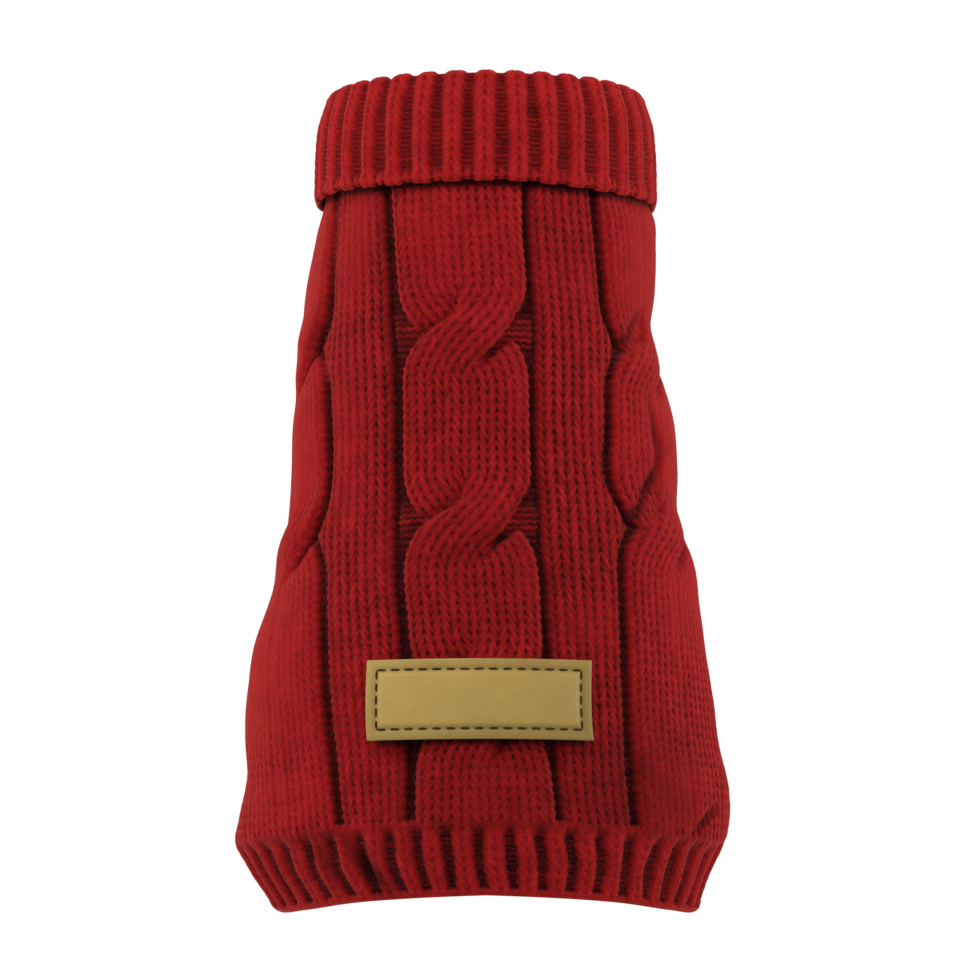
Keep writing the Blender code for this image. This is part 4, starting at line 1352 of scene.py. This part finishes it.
def make_label_stitches():
    """All the running stitches of the patch."""
    points, quads, triangles = [], [], []
    turns = len(STITCH_TURNS)
    for number, run in enumerate(runs_of_stitches()):
        start = number * turns * len(STITCH_ALONG)
        points.append(stitch_points(number, *run).reshape(-1, 3))
        faces, index = quads_between(len(STITCH_ALONG), turns, True, start)
        quads.append(faces)
        for ring in (index[0, ::-1], index[-1]):
            triangles += [(ring[0], ring[k], ring[k + 1]) for k in range(1, turns - 1)]
    points = np.concatenate(points)
    quads, triangles = facing_out(points, np.concatenate(quads), np.array(triangles))
    return mesh_object("label_stitches", points, quads, triangles, THREAD)


back_middle = make_panel("back_middle", BACK, (-OUTER_DITCH, OUTER_DITCH), ())
back_left = make_panel("back_left", BACK, (-SIDE_DITCH_END, -OUTER_DITCH), (-1,))
back_right = make_panel("back_right", BACK, (OUTER_DITCH, SIDE_DITCH_END), (1,))
belly = make_panel("belly", BELLY, BELLY_FIXED, (-1, 1))
collar = make_collar()
hem = make_hem()
leg_left = make_leg_band("leg_rib_left", LEG_FRAMES[0], 80)
leg_right = make_leg_band("leg_rib_right", LEG_FRAMES[1], 90)
label = make_label()
label_stitches = make_label_stitches()

# The stage, the light and the camera, in metres.
ELEVATION = math.radians(-7.0)
DISTANCE = 2.5
AIM = Vector((0.0, 0.0, -0.113))
AIM_RIGHT = Vector((0.0016, 0.0, 0.0))
AIM_DOWN = 0.00064


def pointed(thing, at, along):
    """A light or camera put at a place and turned to face along a direction."""
    thing.location = at
    thing.rotation_mode = "QUATERNION"
    thing.rotation_quaternion = along.to_track_quat("-Z", "Y")
    return thing


forward = Vector((0.0, math.cos(ELEVATION), -math.sin(ELEVATION)))
up = Vector((0.0, math.sin(ELEVATION), math.cos(ELEVATION)))
camera = added("camera", bpy.data.cameras.new("camera"))
pointed(camera, AIM - forward * DISTANCE + AIM_RIGHT - up * AIM_DOWN, forward)
camera.data.sensor_width = 36.0
camera.data.lens = 287.0
camera.data.clip_start, camera.data.clip_end = 0.1, 50.0
bpy.context.scene.camera = camera

for name, at, aim_height, size, power in (
    ("key", (-0.45, -1.3, 1.35), -0.1, 0.6, 30.0),
    ("fill", (1.2, -1.5, 0.35), -0.12, 1.2, 6.0),
    ("left", (-1.5, -0.55, 0.35), -0.1, 0.8, 22.5),
    ("right", (1.55, -0.4, 0.4), -0.1, 0.8, 27.0),
):
    light = added(name, bpy.data.lights.new(name, "AREA"))
    pointed(light, Vector(at), Vector((0.0, 0.0, aim_height)) - Vector(at))
    light.data.size = size
    light.data.energy = power

world = bpy.data.worlds.new("studio")
bpy.context.scene.world = world
world.use_nodes = True
world.node_tree.nodes["Background"].inputs["Color"].default_value = (1.0, 1.0, 1.0, 1.0)
world.node_tree.nodes["Background"].inputs["Strength"].default_value = 1.0
bpy.context.scene.view_settings.view_transform = "Standard"

floor_mesh = bpy.data.meshes.new("floor")
floor_mesh.from_pydata([(-6, -6, -0.8), (6, -6, -0.8), (6, 6, -0.8), (-6, 6, -0.8)], [], [(0, 1, 2, 3)])
floor_mesh.materials.append(surface("pale_floor", Base_Color=(0.9, 0.9, 0.9, 1.0), Roughness=0.9)[0])
floor = added("floor", floor_mesh)

for piece, replaced, slot in (
    (back_middle, "back_panel", "red_knit"),
    (back_left, "back_panel", "red_knit"),
    (back_right, "back_panel", "red_knit"),
    (belly, "belly_panel", "red_knit"),
    (collar, "collar", "red_rib"),
    (hem, "hem_band", "red_rib"),
    (leg_left, "leg_band_left", "red_rib"),
    (leg_right, "leg_band_right", "red_rib"),
    (label, "label", "tan_leather"),
):
    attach(piece, "root")
    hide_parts(replaced)
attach(label_stitches, "root")
